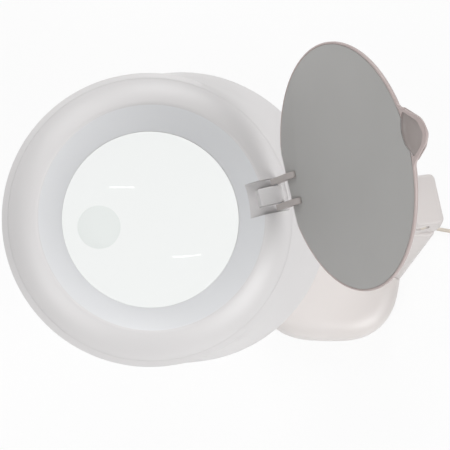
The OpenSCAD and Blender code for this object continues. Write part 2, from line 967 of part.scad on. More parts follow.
// The front of the head: ring and bezel together, with the hinge's pocket
module front_form()
    difference() {
        union() {
            rotate_extrude($fn = 128)
                ring_profile();
            bezel_lip();
            intersection() {
                rotate_extrude($fn = 128)
                    polygon(concat([[opening_r, -dish_depth], [crest_r, -0.5]],
                        ring_slope, [[ring_r, -dish_depth]]));
                rotate([0, 0, hinge_yaw])
                    translate([pocket_front - 2, hinge_side - pocket_w / 2 - 2,
                        -pocket_floor - 2])
                        cube([pocket_back - pocket_front + 4, pocket_w + 4,
                            pocket_floor + 2]);
            }
            around(head_screw_r, head_screw_angles)
                translate([0, 0, -well_top])
                    cylinder(h = well_top - 8, r = boss_r);
        }
        rotate([0, 0, hinge_yaw])
            translate([0, hinge_side, 0]) {
                translate([pocket_front - 8, -pocket_w / 2, -pocket_floor])
                    cube([pocket_back - pocket_front + 8, pocket_w, 2 * pocket_floor]);
                for (x = [hinge_x - 9, hinge_x - 1])
                    translate([x, 0, -pocket_floor - 3])
                        cylinder(h = 4, r = screw_r);
            }
        around(head_screw_r, head_screw_angles)
            translate([0, 0, -well_top - over])
                cylinder(h = well_top - pilot_top + over, r = screw_r);
    }

// Lip round the bezel, which the ring holds down
module bezel_lip()
    translate([0, 0, -lip_top - lip_thick])
        difference() {
            cylinder(h = lip_thick, r = lip_r);
            translate([0, 0, -over])
                cylinder(h = lip_thick + 2 * over, r = bezel_r - 1.5);
        }

// All that belongs to the bezel and not to the ring
module bezel_space(gap) {
    translate([0, 0, -housing_depth])
        cylinder(h = housing_depth + 10, r = bezel_r + gap);
    translate([0, 0, -lip_top - lip_thick - gap])
        cylinder(h = lip_thick + 2 * gap, r = lip_r + gap);
}

module head_ring()
    color(WHITE)
        on_head()
            difference() {
                front_form();
                bezel_space(lip_gap);
            }

module lens_bezel()
    color(WHITE)
        on_head()
            intersection() {
                front_form();
                bezel_space(0);
            }

// Outline of the housing: a front circle joined to a larger one behind it
function egg_ring(level, radius, shift) =
    [for (i = [0:egg_steps - 1])
        let (a = i * 360 / egg_steps, back = cos(a) > -1 / shift, r = back ? radius : radius - 1)
            [(back ? shift : 0) + r * cos(a), r * sin(a), -level]];

// Shoulder between the crease and the widest level, no narrower than the ring
function shoulder_ring(level, wall) =
    let (low = egg_ring(0, housing_r - wall, housing_shift),
         share = (shoulder_level - level) / (shoulder_level - crease_level))
        [for (i = [0:egg_steps - 1])
            let (a = i * 360 / egg_steps,
                 p = (1 - share) * [low[i][0], low[i][1]]
                     + share * (crease_r - wall) * [cos(a), sin(a)],
                 r = max(norm(p), ring_r - 0.1 - wall))
                [p[0] * r / norm(p), p[1] * r / norm(p), -level - wall * 0.4]];

// Housing's outer form, shrunk by a wall
module housing_body(wall)
    loft(concat(
        [for (tuck = [[housing_depth, 10], [housing_depth - 2, 5.8], [housing_depth - 5, 3],
                      [housing_depth - 9, 1], [shoulder_low, 0]])
            egg_ring(tuck[0] - wall * (tuck[1] > 0 ? 1 : 0), housing_r - tuck[1] - wall,
                housing_shift - tuck[1] / 6)],
        [egg_ring(shoulder_level + wall * 0.4, housing_r - wall, housing_shift)],
        [for (level = [shoulder_level - 5, ring_drop, ring_drop - 4])
            shoulder_ring(level, wall)],
        [raised([for (i = [0:egg_steps - 1])
            let (a = i * 360 / egg_steps) (crease_r - wall) * [cos(a), sin(a)]],
            -crease_level - wall * 0.6)]));

module light_well()
    rotate_extrude()
        polygon([
            [well_top_r, -well_top], [lens_r + 2.2, -well_top],
            [lens_r + 2.2, -well_top - 3],
            [well_low_r + well_wall, -housing_depth], [well_low_r, -housing_depth]]);

module window_cut()
    difference() {
        translate([0, 0, -housing_depth - over])
            cylinder(h = head_wall + 2 * over, r = window_out);
        translate([0, 0, -housing_depth - 2 * over])
            cylinder(h = head_wall + 4 * over, r = window_in);
        for (a = post_angles)
            rotate(a)
                translate([window_in - 2, -3.5, -housing_depth - 2 * over])
                    cube([window_out - window_in + 4, 7, head_wall + 4 * over]);
    }

module on_button()
    rotate([0, 0, button_turn])
        translate([button_reach, 0, -button_level])
            rotate([0, shoulder_slope, 0])
                children();

module head_housing()
    color(WHITE)
        on_head()
            difference() {
                union() {
                    difference() {
                        housing_body(0);
                        housing_body(head_wall);
                        translate([0, 0, -housing_depth - over])
                            cylinder(h = head_wall + 2 * over, r = well_low_r + 0.5);
                    }
                    light_well();
                    translate([0, 0, -roll_drop])
                        x_rod(collar_r, collar_front, collar_back);
                    around(head_screw_r, head_screw_angles)
                        translate([0, 0, -floor_level])
                            cylinder(h = floor_level - well_top - seam, r = boss_r);
                    around(led_r, post_angles)
                        translate([0, 0, -floor_level])
                            cylinder(h = floor_level - board_level, r = post_r);
                    intersection() {
                        housing_body(0.1);
                        on_button()
                            translate([0, 0, -6])
                                cylinder(h = 6, r = button_r + 2.5);
                    }
                }
                ring_envelope(ring_drop + seam);
                window_cut();
                translate([0, 0, -roll_drop])
                    x_rod(stub_r + slip, collar_front - over, collar_back + over);
                around(head_screw_r, head_screw_angles) {
                    translate([0, 0, -housing_depth - over])
                        cylinder(h = housing_depth + over, r = screw_r + 0.2);
                    translate([0, 0, -housing_depth - over])
                        cylinder(h = screw_head_h + 0.2 + over, r = screw_head_r + 0.2);
                }
                on_button() {
                    translate([0, 0, -2.6])
                        cylinder(h = 12, r = button_r + 0.15);
                    translate([0, 0, -20])
                        cylinder(h = 24, r = button_stem_r + slip);
                }
            }

// Lens faces as arcs, from the rim to the middle
function lens_arc(radius, half, from, to, steps) =
    [for (k = [0:steps])
        let (r = half * (from + (to - from) * k / steps))
            [r, sqrt(radius * radius - r * r) - sqrt(radius * radius - half * half)]];

module main_lens()
    color([0.85, 0.93, 0.97, 0.35])
        on_head()
            rotate_extrude($fn = 96)
                polygon(concat(
                    [for (p = lens_arc(lens_curve, lens_flat_r, 0, 1, 12))
                        [p[0], p[1] - lens_top]],
                    [[lens_r, -lens_top], [lens_r, -lens_bottom]],
                    [for (p = lens_arc(lens_curve, lens_flat_r, 1, 0, 12))
                        [p[0], -lens_bottom - p[1]]]));

// Level of the main lens's lower face where the small lens is bonded on
inset_seat = lens_bottom + sqrt(lens_curve * lens_curve - inset_offset * inset_offset)
    - sqrt(lens_curve * lens_curve - lens_flat_r * lens_flat_r);

module inset_lens()
    color([0.85, 0.93, 0.97, 0.35])
        on_head()
            translate([-inset_offset, 0, -inset_seat - 0.4])
                rotate([0, asin(inset_offset / lens_curve), 0])
                    rotate_extrude()
                        polygon([for (p = concat(
                            [[0, 0]], lens_arc(inset_curve, inset_r, 1, 0, 8))) [p[0], -p[1]]]);

module lens_gasket()
    color(RUBBER)
        on_head()
            translate([0, 0, -well_top])
                difference() {
                    cylinder(h = gasket_thick, r = lens_r);
                    translate([0, 0, -over])
                        cylinder(h = gasket_thick + 2 * over, r = well_top_r);
                }

module led_board()
    color(BOARD)
        on_head()
            translate([0, 0, -board_level])
                difference() {
                    cylinder(h = board_thick, r = board_out);
                    translate([0, 0, -over])
                        cylinder(h = board_thick + 2 * over, r = board_in);
                }

module leds()
    color([0.98, 0.95, 0.7])
        on_head()
            around(led_r, [for (i = [0:led_count - 1]) i * 360 / led_count])
                translate([-1.4, -1.75, -board_level - 1.8])
                    cube([2.8, 3.5, 1.8]);

module diffuser()
    color([0.97, 0.97, 0.95])
        on_head()
            translate([0, 0, -floor_level])
                difference() {
                    cylinder(h = 1.5, r = window_out + 0.8);
                    translate([0, 0, -over])
                        cylinder(h = 1.5 + 2 * over, r = window_in - 0.8);
                    around(led_r, post_angles)
                        translate([0, 0, -over])
                            cylinder(h = 1.5 + 2 * over, r = post_r + 0.2);
                }

module driver_board()
    color(BOARD)
        on_head()
            translate([88, 22, -floor_level]) {
                cube([14, 22, 1.6]);
                translate([2, 2, 1.6])
                    cube([6, 8, 4]);
                translate([9.5, 15.5, 1.6])
                    cylinder(h = 9, r = 3.5);
                translate([3.2, 16, 1.6])
                    cylinder(h = 5, r = 2.4);
            }

module head_screws()
    color(STEEL)
        on_head()
            around(head_screw_r, head_screw_angles)
                screw(-housing_depth + screw_head_h + 0.2, 34);

module hinge_block()
    color(WHITE)
        on_hinge()
            difference() {
                union() {
                    translate([tongue_front, -tongue_w / 2, -pocket_floor])
                        cube([hinge_x - tongue_front, tongue_w,
                            pocket_floor - hinge_drop + hinge_eye_r]);
                    translate([hinge_x - over, -tongue_w / 2, -pocket_floor])
                        cube([hinge_eye_r + over, tongue_w, pocket_floor - hinge_drop]);
                    translate([hinge_x, 0, -hinge_drop])
                        y_rod(hinge_eye_r, -tongue_w / 2, tongue_w / 2);
                }
                translate([hinge_x, 0, -hinge_drop])
                    y_rod(hinge_pin_r + slip, -tongue_w, tongue_w);
                for (x = [hinge_x - 9, hinge_x - 1])
                    translate([x, 0, -pocket_floor - over])
                        cylinder(h = 5.5 + over, r = screw_r);
            }

module hinge_screws()
    color(STEEL)
        on_hinge()
            for (x = [hinge_x - 9, hinge_x - 1])
                translate([x, 0, 0])
                    screw(-pocket_floor - 2, 7);

module switch_body()
    color(RUBBER)
        on_head()
            on_button()
                difference() {
                    translate([-7, -7, -15.5])
                        cube([14, 14, 9.5]);
                    translate([0, 0, -10.5])
                        cylinder(h = 10, r = button_stem_r + 0.4);
                }

// ---- Push button on the housing's shoulder ----

module power_button()
    color(GREY)
        on_head()
            on_button() {
                translate([0, 0, -1.5])
                    cylinder(h = button_proud + 0.9, r = button_r);
                translate([0, 0, button_proud - 0.6])
                    cylinder(h = 0.6, r1 = button_r, r2 = button_r - 1);
                translate([0, 0, -9])
                    cylinder(h = 8, r = button_stem_r);
            }

// ---- Cover, drawn closed over the lens ----

cover_mid = -0.8;

// Disc with a flat edge towards the hinge
module cover_disc(radius, low, high)
    difference() {
        translate([cover_mid, cover_side, low])
            cylinder(h = high - low, r = radius, $fn = 128);
        translate([cover_mid + radius - cover_flat, -50, low - over])
            cube([10, 100, high - low + 2 * over]);
    }

module cover_arm(side)
    translate([0, side > 0 ? hinge_arm_out : -hinge_arm_in, 0])
        rotate([90, 0, 0])
            linear_extrude(arm_thick)
                polygon([
                    [cover_arm_end, cover_lift + liner_thick],
                    [cover_arm_end, cover_lift - 1.5],
                    [cover_arm_end + 5, -hinge_drop - arm_eye_r],
                    [hinge_x, -hinge_drop - arm_eye_r],
                    [hinge_x, arm_eye_r - hinge_drop],
                    [hinge_x - 13, arm_eye_r - hinge_drop],
                    [hinge_x - 16, cover_lift + liner_thick]]);

module cover_shell() {
    dome_r = (tab_r * tab_r + tab_rise * tab_rise) / (2 * tab_rise);
    tab_x = cover_mid - cover_r - tab_reach;
    face = cover_lift + liner_thick;
    color(WHITE)
        on_cover()
            difference() {
                union() {
                    cover_disc(cover_r, face, face + cover_thick);
                    difference() {
                        cover_disc(cover_r, cover_lift, face + 0.1);
                        cover_disc(cover_r - liner_inset, cover_lift - over, face + over);
                    }
                    intersection() {
                        translate([tab_x, tab_side, cover_lift + tab_rise - dome_r])
                            sphere(r = dome_r);
                        difference() {
                            translate([tab_x, tab_side, cover_lift])
                                cylinder(h = tab_rise + over, r = tab_r + 2);
                            cover_disc(cover_r - liner_inset, cover_lift - over, face);
                        }
                    }
                    for (side = [-1, 1]) {
                        cover_arm(side);
                        translate([hinge_x, 0, -hinge_drop])
                            y_rod(arm_eye_r, side > 0 ? hinge_arm_in : -hinge_arm_out,
                                side > 0 ? hinge_arm_out : -hinge_arm_in);
                    }
                }
                difference() {
                    translate([tab_x, tab_side, cover_lift + tab_rise - dome_r])
                        sphere(r = dome_r - tab_wall);
                    translate([cover_mid, cover_side, cover_lift - 2])
                        cylinder(h = tab_rise + 4, r = cover_r - 0.4, $fn = 128);
                }
                translate([hinge_x, 0, -hinge_drop])
                    y_rod(hinge_pin_r, -hinge_arm_out - over, hinge_arm_out + over);
            }
}

module cover_liner()
    color(GREY)
        on_cover()
            difference() {
                cover_disc(cover_r - liner_inset - 0.1, cover_lift, cover_lift + liner_thick);
                for (side = [-1, 1])
                    translate([cover_arm_end - 0.2,
                        side > 0 ? hinge_arm_in - 0.1 : -hinge_arm_out - 0.1, -over])
                        cube([40, arm_thick + 0.2, 3 * over]);
            }

module hinge_pin()
    color(STEEL)
        on_cover()
            translate([hinge_x, 0, -hinge_drop])
                y_rod(hinge_pin_r, -hinge_arm_out, hinge_arm_out);

base_pad();
base_plate();
base_weight();
base_cover();
base_screws();
column_shell();
column_screws();
swivel_bush();
cord_grip();
cord_lead();
cord_coil();
cord_tail();
cord_tie();
adapter_body();
adapter_pins();
swivel_cap();
swivel_lid();
swivel_stud();
swivel_washer();
swivel_nut();
cap_lead();
lift_pin();
lift_knob();
arm_left();
arm_right();
arm_spine();
arm_screws();
arm_washers();
head_yoke();
roll_nut();
tilt_pin();
tilt_knob();
head_ring();
lens_bezel();
head_housing();
main_lens();
inset_lens();
lens_gasket();
led_board();
leds();
diffuser();
driver_board();
head_screws();
hinge_block();
hinge_screws();
switch_body();
power_button();
cover_shell();
cover_liner();
hinge_pin();
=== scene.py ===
# %% [markdown]
# # Desk magnifying lamp
#
# A heavy pebble-shaped base carries a column. A cap turns on the column and
# holds a short folding arm, and the arm holds a round head with a lens, a ring
# of lights and a flip-up cover. The imported CAD model is loaded first, because
# every piece here sits around it.

# %% Load the imported model
import json
import math

import bmesh
import bpy
from mathutils import Euler, Matrix, Vector


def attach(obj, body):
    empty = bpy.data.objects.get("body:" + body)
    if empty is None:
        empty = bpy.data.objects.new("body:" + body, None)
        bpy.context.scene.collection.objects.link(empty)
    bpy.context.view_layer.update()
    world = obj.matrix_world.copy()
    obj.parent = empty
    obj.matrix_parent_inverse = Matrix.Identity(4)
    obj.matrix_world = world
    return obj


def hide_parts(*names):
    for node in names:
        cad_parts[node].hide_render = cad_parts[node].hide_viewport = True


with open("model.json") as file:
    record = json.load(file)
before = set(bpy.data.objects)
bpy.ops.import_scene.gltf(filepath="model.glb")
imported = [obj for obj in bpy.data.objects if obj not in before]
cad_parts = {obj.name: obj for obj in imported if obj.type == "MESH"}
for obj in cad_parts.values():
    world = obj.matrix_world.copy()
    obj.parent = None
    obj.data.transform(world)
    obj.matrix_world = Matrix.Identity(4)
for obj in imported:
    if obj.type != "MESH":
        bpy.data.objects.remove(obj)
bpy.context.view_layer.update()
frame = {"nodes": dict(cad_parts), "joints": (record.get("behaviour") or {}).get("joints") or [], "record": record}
scene = bpy.context.scene

# %% [markdown]
# ## Camera
#
# A camera is a place, a direction and a lens. The lamp is seen from high up, a
# little to its left, through a 96 mm lens, so near and far parts keep almost the
# same scale. A camera looks straight down until it is turned. This one is turned
# about X, which tips it forward, and then about Y, which swings it to the right.

# %% Camera
camera_data = bpy.data.cameras.new("camera")
camera_data.lens = 96
camera_data.sensor_width = 36
camera = bpy.data.objects.new("camera", camera_data)
scene.collection.objects.link(camera)
camera_place = Matrix.Translation((-0.208, -0.265, 0.995))
camera_turn = Euler([math.radians(angle) for angle in (15.3778, -7.0075, 0)])
camera.matrix_world = camera_place @ camera_turn.to_matrix().to_4x4()
scene.camera = camera
print("camera", round(camera.matrix_world.translation.length, 3), "m from the origin")

# %% [markdown]
# ## One function for nodes, one for colours
#
# A material is a small graph of nodes. This helper adds one node, gives it its
# settings and connects its inputs, so every material below reads as a list of
# steps. Colours are written as hex values, as on a paint card, and turned into
# the linear numbers that the renderer works with.

# %% Helpers for materials
def linear(hex_colour):
    """A hex colour as linear red, green, blue and alpha."""
    parts = [int(hex_colour[i:i + 2], 16) / 255 for i in (1, 3, 5)]
    return (*[c / 12.92 if c < 0.04045 else ((c + 0.055) / 1.055) ** 2.4
              for c in parts], 1.0)


def add_node(material, kind, settings=None, **inputs):
    """Adds a node to a material or to the world.

    An input is a plain value, or another node's output."""
    tree = material.node_tree
    node = tree.nodes.new(kind)
    for key, value in (settings or {}).items():
        setattr(node, key, value)
    for key, value in inputs.items():
        name = key.replace("_", " ")
        socket = node.inputs[int(key[1:])] if key[0] == "i" and key[1:].isdigit() \
            else node.inputs[name]
        if isinstance(value, bpy.types.NodeSocket):
            tree.links.new(value, socket)
        else:
            socket.default_value = value
    return node


def new_material(name):
    """An empty material with its output node."""
    material = bpy.data.materials.new(name)
    material.use_nodes = True
    material.node_tree.nodes.clear()
    output = material.node_tree.nodes.new("ShaderNodeOutputMaterial")
    return material, output


def finish_material(material, output, shader):
    """Connects the last shader to the output and hands the material back."""
    material.node_tree.links.new(shader.outputs[0], output.inputs["Surface"])
    return material


MM = 0.001   # a millimetre, in Blender's metres

# %% [markdown]
# ## The places of the moving pieces
#
# Each joint of the lamp carries the next one, so a frame is a chain of turns and
# shifts: the swivel stands on the base, the arm on the swivel, the head on the
# arm, and the cover on the head. The same sizes as in the part's source are used,
# in millimetres, and a frame's matrix turns local millimetres into world metres.

# %% Frames of the swivel, arm, yoke, head, hinge and cover
def turn(axis, degrees):
    return Matrix.Rotation(math.radians(degrees), 4, axis)


def shift(x, y, z):
    return Matrix.Translation((x, y, z))


SWIVEL_X = 46.8                # the swivel's axis, on the base
LIFT_X, LIFT_Z = -17, 120.5    # the lift pin, from the swivel's axis
ARM_LENGTH, ARM_RISE = 76.8, 51.1
TILT_X = LIFT_X - ARM_LENGTH * math.cos(math.radians(ARM_RISE))
TILT_Z = LIFT_Z + ARM_LENGTH * math.sin(math.radians(ARM_RISE))
TILT_REACH = 145.8             # from the head's middle to the tilt pin
ROLL_DEPTH = 33                # from the head's face down to its roll axis
HINGE_X, HINGE_DROP = 88.2, 0.8

WORLD = Matrix.Scale(MM, 4)
SWIVEL = WORLD @ shift(SWIVEL_X, 0, 0) @ turn("Z", 10.06)
ARM = SWIVEL @ shift(LIFT_X, 0, LIFT_Z) @ turn("Y", 180 + ARM_RISE)
YOKE = SWIVEL @ shift(TILT_X, 0, TILT_Z) @ turn("Y", -1.6) @ shift(-TILT_REACH, 0, 0)
HEAD = YOKE @ shift(TILT_REACH, 0, 0) @ turn("X", 10.3) \
    @ shift(-TILT_REACH, 0, ROLL_DEPTH)
HINGE = HEAD @ turn("Z", 3.9) @ shift(0, -3, 0)
COVER = HINGE @ shift(HINGE_X, 0, -HINGE_DROP) @ turn("Y", 106.7) \
    @ shift(-HINGE_X, 0, HINGE_DROP)
for joint in frame["joints"]:
    print(joint["name"], [round(x, 4) for x in joint.get("pos_m") or [0, 0, 0]])
print("head's middle", HEAD @ Vector((0, 0, 0)))

# %% [markdown]
# ## Lead
#
# The lamp runs from a plug-in adapter, so its lead is a thin two-core one with a
# soft vinyl jacket. A lead is one curve with a round section. It leaves the base
# through a tapered strain relief, sinks to the table, and the length that isn't
# needed is wound into a coil of three turns side by side and four layers high.
# Turns lie a lead's diameter apart, and each move to the next turn or layer is
# made a little earlier than the one before it, so the lead never runs into itself.
# Its last stretch is inside the adapter, where it is clamped.

# %% Lead and coil
LEAD_D = 3.3
COIL_X, COIL_Y, COIL_R = 148.2, -12.8, 19.8
COIL_BASE = 0.7 + LEAD_D / 2
COIL_TURNS = 11.25
TURN_STEPS = 28    # points in a turn
MOVE_START = 0.26  # where in a turn the earliest move starts
MOVE = 0.095       # the part of a turn that a move to the next place takes
MOVE_DELAYS = (6, 6, 5, 4, 4, 3, 2, 2, 1, 0, 0)   # in moves, from the first turn on
ADAPTER_X, ADAPTER_Y = 160, -82
BOOT = (168, -52, 9)   # where the lead enters the adapter

lead_route = [
    (83, 15, 9), (87, 15, 8.6), (91, 14.7, 7.2), (95, 14.2, 5.2), (99, 13.6, 3.4),
    (103, 13, 2.2), (107, 12.4, 1.8), (112, 11.7, 1.8), (117, 11.1, 1.8),
    (122, 10.6, 1.9), (127, 10.4, 2.1), (132, 10.3, 2.3), (137, 10.3, 2.35),
    (142, 10.3, 2.35)]
tail_route = [
    (171.3, -18, 12.2), (171.2, -22, 12.1), (171.1, -26.5, 11.8), (170.8, -30, 11.2),
    (170, -34, 10.2), (169, -39, 9.4), (168.2, -43, 9), (168, -46, 9),
    BOOT, (168, -59, 9), (168, -66, 9), (168, -72, 9)]


def coil_slots():
    """Radius and height of each turn, from the outside in, then out again."""
    slots = []
    for layer in range(4):
        offsets = (1, 0, -1) if layer % 2 == 0 else (-1, 0, 1)
        slots += [(COIL_R + LEAD_D * k, COIL_BASE + LEAD_D * layer) for k in offsets]
    return slots


def ease(t):
    """0 to 1 with a soft start and a soft end."""
    return t * t * (3 - 2 * t)


def coil_route():
    """The coil's points, from where the lead arrives to where it leaves."""
    slots = coil_slots()
    points = []
    for i in range(int(COIL_TURNS * TURN_STEPS) + 1):
        t = i / TURN_STEPS
        k = int(t)
        radius, height = slots[k]
        if k < len(MOVE_DELAYS):
            start = MOVE_START + MOVE * MOVE_DELAYS[k]
            moved = ease(min(max((t - k - start) / MOVE, 0), 1))
            radius += moved * (slots[k + 1][0] - radius)
            height += moved * (slots[k + 1][1] - height)
        angle = math.radians(90 - 360 * t)
        points.append((COIL_X + radius * math.cos(angle),
                       COIL_Y + radius * math.sin(angle), height))
    return points


def tube(name, points, diameter, resolution=8):
    """A cord as one open spline through the points."""
    data = bpy.data.curves.new(name, "CURVE")
    data.dimensions = "3D"
    data.bevel_depth = diameter / 2 * MM
    data.bevel_resolution = resolution
    data.use_fill_caps = True
    spline = data.splines.new("POLY")
    spline.points.add(len(points) - 1)
    for point, place in zip(spline.points, points):
        point.co = (*[c * MM for c in place], 1)
    spline.use_smooth = True
    obj = bpy.data.objects.new(name, data)
    scene.collection.objects.link(obj)
    return obj


def smooth_route(points, parts=2):
    """Points of a smooth curve through the given ones (Catmull-Rom)."""
    ends = [points[0]] + list(points) + [points[-1]]
    fine = []
    for a, b, c, d in zip(ends, ends[1:], ends[2:], ends[3:]):
        for i in range(parts):
            t = i / parts
            fine.append(tuple(
                0.5 * (2 * q + (r - p) * t + (2 * p - 5 * q + 4 * r - s) * t * t
                       + (3 * q - p - 3 * r + s) * t ** 3)
                for p, q, r, s in zip(a, b, c, d)))
    return fine + [tuple(points[-1])]


whole_route = smooth_route(lead_route) + coil_route() + tail_route
lead = tube("lead", whole_route, LEAD_D)

# %% [markdown]
# ## White moulded plastic
#
# The body parts are injection-moulded ABS, the plastic of toy bricks and
# appliance housings. The mould's surface is lightly spark-eroded, which leaves a
# fine even grain on the part and turns a mirror gloss into a soft satin one. The
# grain is about 0.1 mm on the real part; it is drawn at 0.7 mm, because anything
# finer would not show. Large slow patches in tone and gloss keep a wide surface
# from looking like paint in a drawing program.

# %% Moulded plastic
def moulded_plastic(name, colour, shade, roughness=0.42, grain_mm=0.7, grain=0.12,
                    flow_mm=60.0):
    """Slow patches of tone, and a fine grain in the gloss and the surface."""
    material, output = new_material(name)
    place = add_node(material, "ShaderNodeTexCoord").outputs["Object"]
    flow = add_node(material, "ShaderNodeTexNoise", Vector=place,
                    Scale=1 / (flow_mm * MM), Detail=2.0, Roughness=0.5)
    tone = add_node(material, "ShaderNodeMix", {"data_type": "RGBA"},
                    i0=flow.outputs["Fac"], i6=linear(colour), i7=linear(shade))
    erosion = add_node(material, "ShaderNodeTexNoise", Vector=place,
                       Scale=1 / (grain_mm * MM), Detail=3.0, Roughness=0.55)
    gloss = add_node(material, "ShaderNodeMapRange", Value=erosion.outputs["Fac"],
                     To_Min=roughness - 0.05, To_Max=roughness + 0.07)
    bump = add_node(material, "ShaderNodeBump", Strength=grain, Distance=0.04 * MM,
                    Height=erosion.outputs["Fac"])
    shader = add_node(material, "ShaderNodeBsdfPrincipled", IOR=1.53,
                      Base_Color=tone.outputs[2], Roughness=gloss.outputs["Result"],
                      Normal=bump.outputs["Normal"])
    return finish_material(material, output, shader)


# Base, column, head and cover are one white plastic. Their whites are painted light and shade: the base's white is
# the lightest, and the column's, head's and cover's step darker for the less light that falls on them.
base_abs = moulded_plastic("white_abs_base", "#E9E4E2", "#E3DDDA", roughness=0.36)
column_abs = moulded_plastic("white_abs_column", "#DBD6D4", "#D5CFCD", roughness=0.38)
head_abs = moulded_plastic("white_abs_head", "#E2E0E0", "#DCDADA", roughness=0.4)
# The bezel's cooler white is also painted lighter, as painted light for the light the dish loses while the lamps
# are kept off the lenses.
bezel_lit_abs = moulded_plastic("cool_white_abs_bezel_painted_light", "#EAEBED", "#E5E6E8", roughness=0.4)
cover_abs = moulded_plastic("white_abs_cover", "#DEDADA", "#D8D3D3", roughness=0.4)
# The rim's darker mauve grey is the cover's white painted in shade, for the rim's side that faces away from the
# light.
rim_shade_abs = moulded_plastic("abs_rim_painted_shade", "#C4B6B3", "#BCADAA", roughness=0.4)
# The scoop's grey is the cover's white painted in shade, for the shade inside the bowl.
scoop_shade_abs = moulded_plastic("abs_scoop_painted_shade", "#ADA4A1", "#A59C99", roughness=0.45)
# The hinge arms' grey is the cover's white painted in shade, for the shade in the hinge pocket.
arm_shade_abs = moulded_plastic("abs_hinge_arms_painted_shade", "#BDB6B3", "#B5AEAB", roughness=0.42)
liner_sheet = moulded_plastic("grey_polypropylene_sheet", "#B5B4B2", "#AFAEAC",
                              roughness=0.5, grain_mm=0.5, grain=0.2)
button_abs = moulded_plastic("grey_abs_button", "#BDBDBD", "#B6B6B6", roughness=0.45)
black_abs = moulded_plastic("black_abs_moulding", "#262628", "#202022",
                            roughness=0.48, grain_mm=0.9, grain=0.25)

# %% [markdown]
# ## Acetal, vinyl and rubber
#
# The bush and the friction washers are acetal, a waxy ivory plastic that slides
# well. The lead's jacket is soft vinyl: a little sheen, and small dents from being
# wound. The pad under the base and the gasket are matt black rubber with a
# slightly rough, dusty surface.

# %% Soft and slippery plastics
def soft_plastic(name, colour, shade, roughness, sheen, grain_mm, grain):
    """A mottled tone, small pores, and some sheen where the piece is soft."""
    material, output = new_material(name)
    place = add_node(material, "ShaderNodeTexCoord").outputs["Object"]
    mottle = add_node(material, "ShaderNodeTexNoise", Vector=place,
                      Scale=1 / (9 * MM), Detail=2.0)
    tone = add_node(material, "ShaderNodeMix", {"data_type": "RGBA"},
                    i0=mottle.outputs["Fac"], i6=linear(colour), i7=linear(shade))
    pores = add_node(material, "ShaderNodeTexNoise", Vector=place,
                     Scale=1 / (grain_mm * MM), Detail=4.0, Roughness=0.6)
    bump = add_node(material, "ShaderNodeBump", Strength=grain, Distance=0.06 * MM,
                    Height=pores.outputs["Fac"])
    shader = add_node(material, "ShaderNodeBsdfPrincipled", IOR=1.5, Roughness=roughness,
                      Sheen_Weight=sheen, Base_Color=tone.outputs[2],
                      Normal=bump.outputs["Normal"])
    return finish_material(material, output, shader)


acetal = soft_plastic("ivory_acetal", "#EAE6D8", "#E2DDCC", 0.33, 0.0, 1.2, 0.08)
vinyl = soft_plastic("beige_vinyl_jacket", "#DDD5CA", "#D2C8BB", 0.5, 0.1, 1.6, 0.25)
rubber = soft_plastic("black_rubber", "#222224", "#2B2B2D", 0.82, 0.15, 0.8, 0.5)

# %% [markdown]
# ## Metals
#
# Pins, screws and nuts are zinc-plated steel: bright, slightly blue, with the
# fine round marks of turning. The weight and the bottom plate are iron under a
# thin black coat, so they are treated as a dark, rough metal with a cast skin.
# A metal's colour comes from its reflections, so the metallic value is one.

# %% Plated steel and black iron
def worked_metal(name, colour, shade, roughness, grain_mm, stretch, grain):
    """Metal with the marks of its making, stretched more or less along each axis."""
    material, output = new_material(name)
    place = add_node(material, "ShaderNodeTexCoord").outputs["Object"]
    drawn = add_node(material, "ShaderNodeMapping", Vector=place, Scale=stretch)
    marks = add_node(material, "ShaderNodeTexNoise", Vector=drawn.outputs[0],
                     Scale=1 / (grain_mm * MM), Detail=5.0, Roughness=0.65)
    tone = add_node(material, "ShaderNodeMix", {"data_type": "RGBA"},
                    i0=marks.outputs["Fac"], i6=linear(colour), i7=linear(shade))
    gloss = add_node(material, "ShaderNodeMapRange", Value=marks.outputs["Fac"],
                     To_Min=roughness - 0.07, To_Max=roughness + 0.1)
    bump = add_node(material, "ShaderNodeBump", Strength=grain, Distance=0.05 * MM,
                    Height=marks.outputs["Fac"])
    shader = add_node(material, "ShaderNodeBsdfPrincipled", Metallic=1.0,
                      Base_Color=tone.outputs[2], Roughness=gloss.outputs["Result"],
                      Normal=bump.outputs["Normal"])
    return finish_material(material, output, shader)


zinc = worked_metal("zinc_plated_steel", "#C9CACD", "#B4B6BB", 0.28, 1.5,
                    (1, 1, 6), 0.15)
iron = worked_metal("black_coated_iron", "#4A4A4C", "#3A3A3C", 0.55, 2.5,
                    (1, 1, 1), 0.6)

# %% [markdown]
# ## Lens, boards and lights
#
# The lens is clear acrylic. Light bends by its index, 1.49, and the shape of the
# mesh does the magnifying. The ring board carries a white solder mask, so that
# it throws the light forward, and each light has a yellow phosphor under a clear
# top. An opal sheet in front spreads the points of light.

# %% Acrylic, solder mask, phosphor and opal sheet
def clear_acrylic(name):
    """Clear plastic that bends light; its shadow is let through almost whole."""
    material, output = new_material(name)
    shader = add_node(material, "ShaderNodeBsdfPrincipled", IOR=1.49, Roughness=0.0,
                      Transmission_Weight=1.0, Base_Color=linear("#FBFDFC"))
    pale = add_node(material, "ShaderNodeBsdfTransparent", Color=linear("#F6F9F8"))
    ray = add_node(material, "ShaderNodeLightPath")
    mix = add_node(material, "ShaderNodeMixShader", i0=ray.outputs["Is Shadow Ray"],
                   i1=shader.outputs[0], i2=pale.outputs[0])
    return finish_material(material, output, mix)


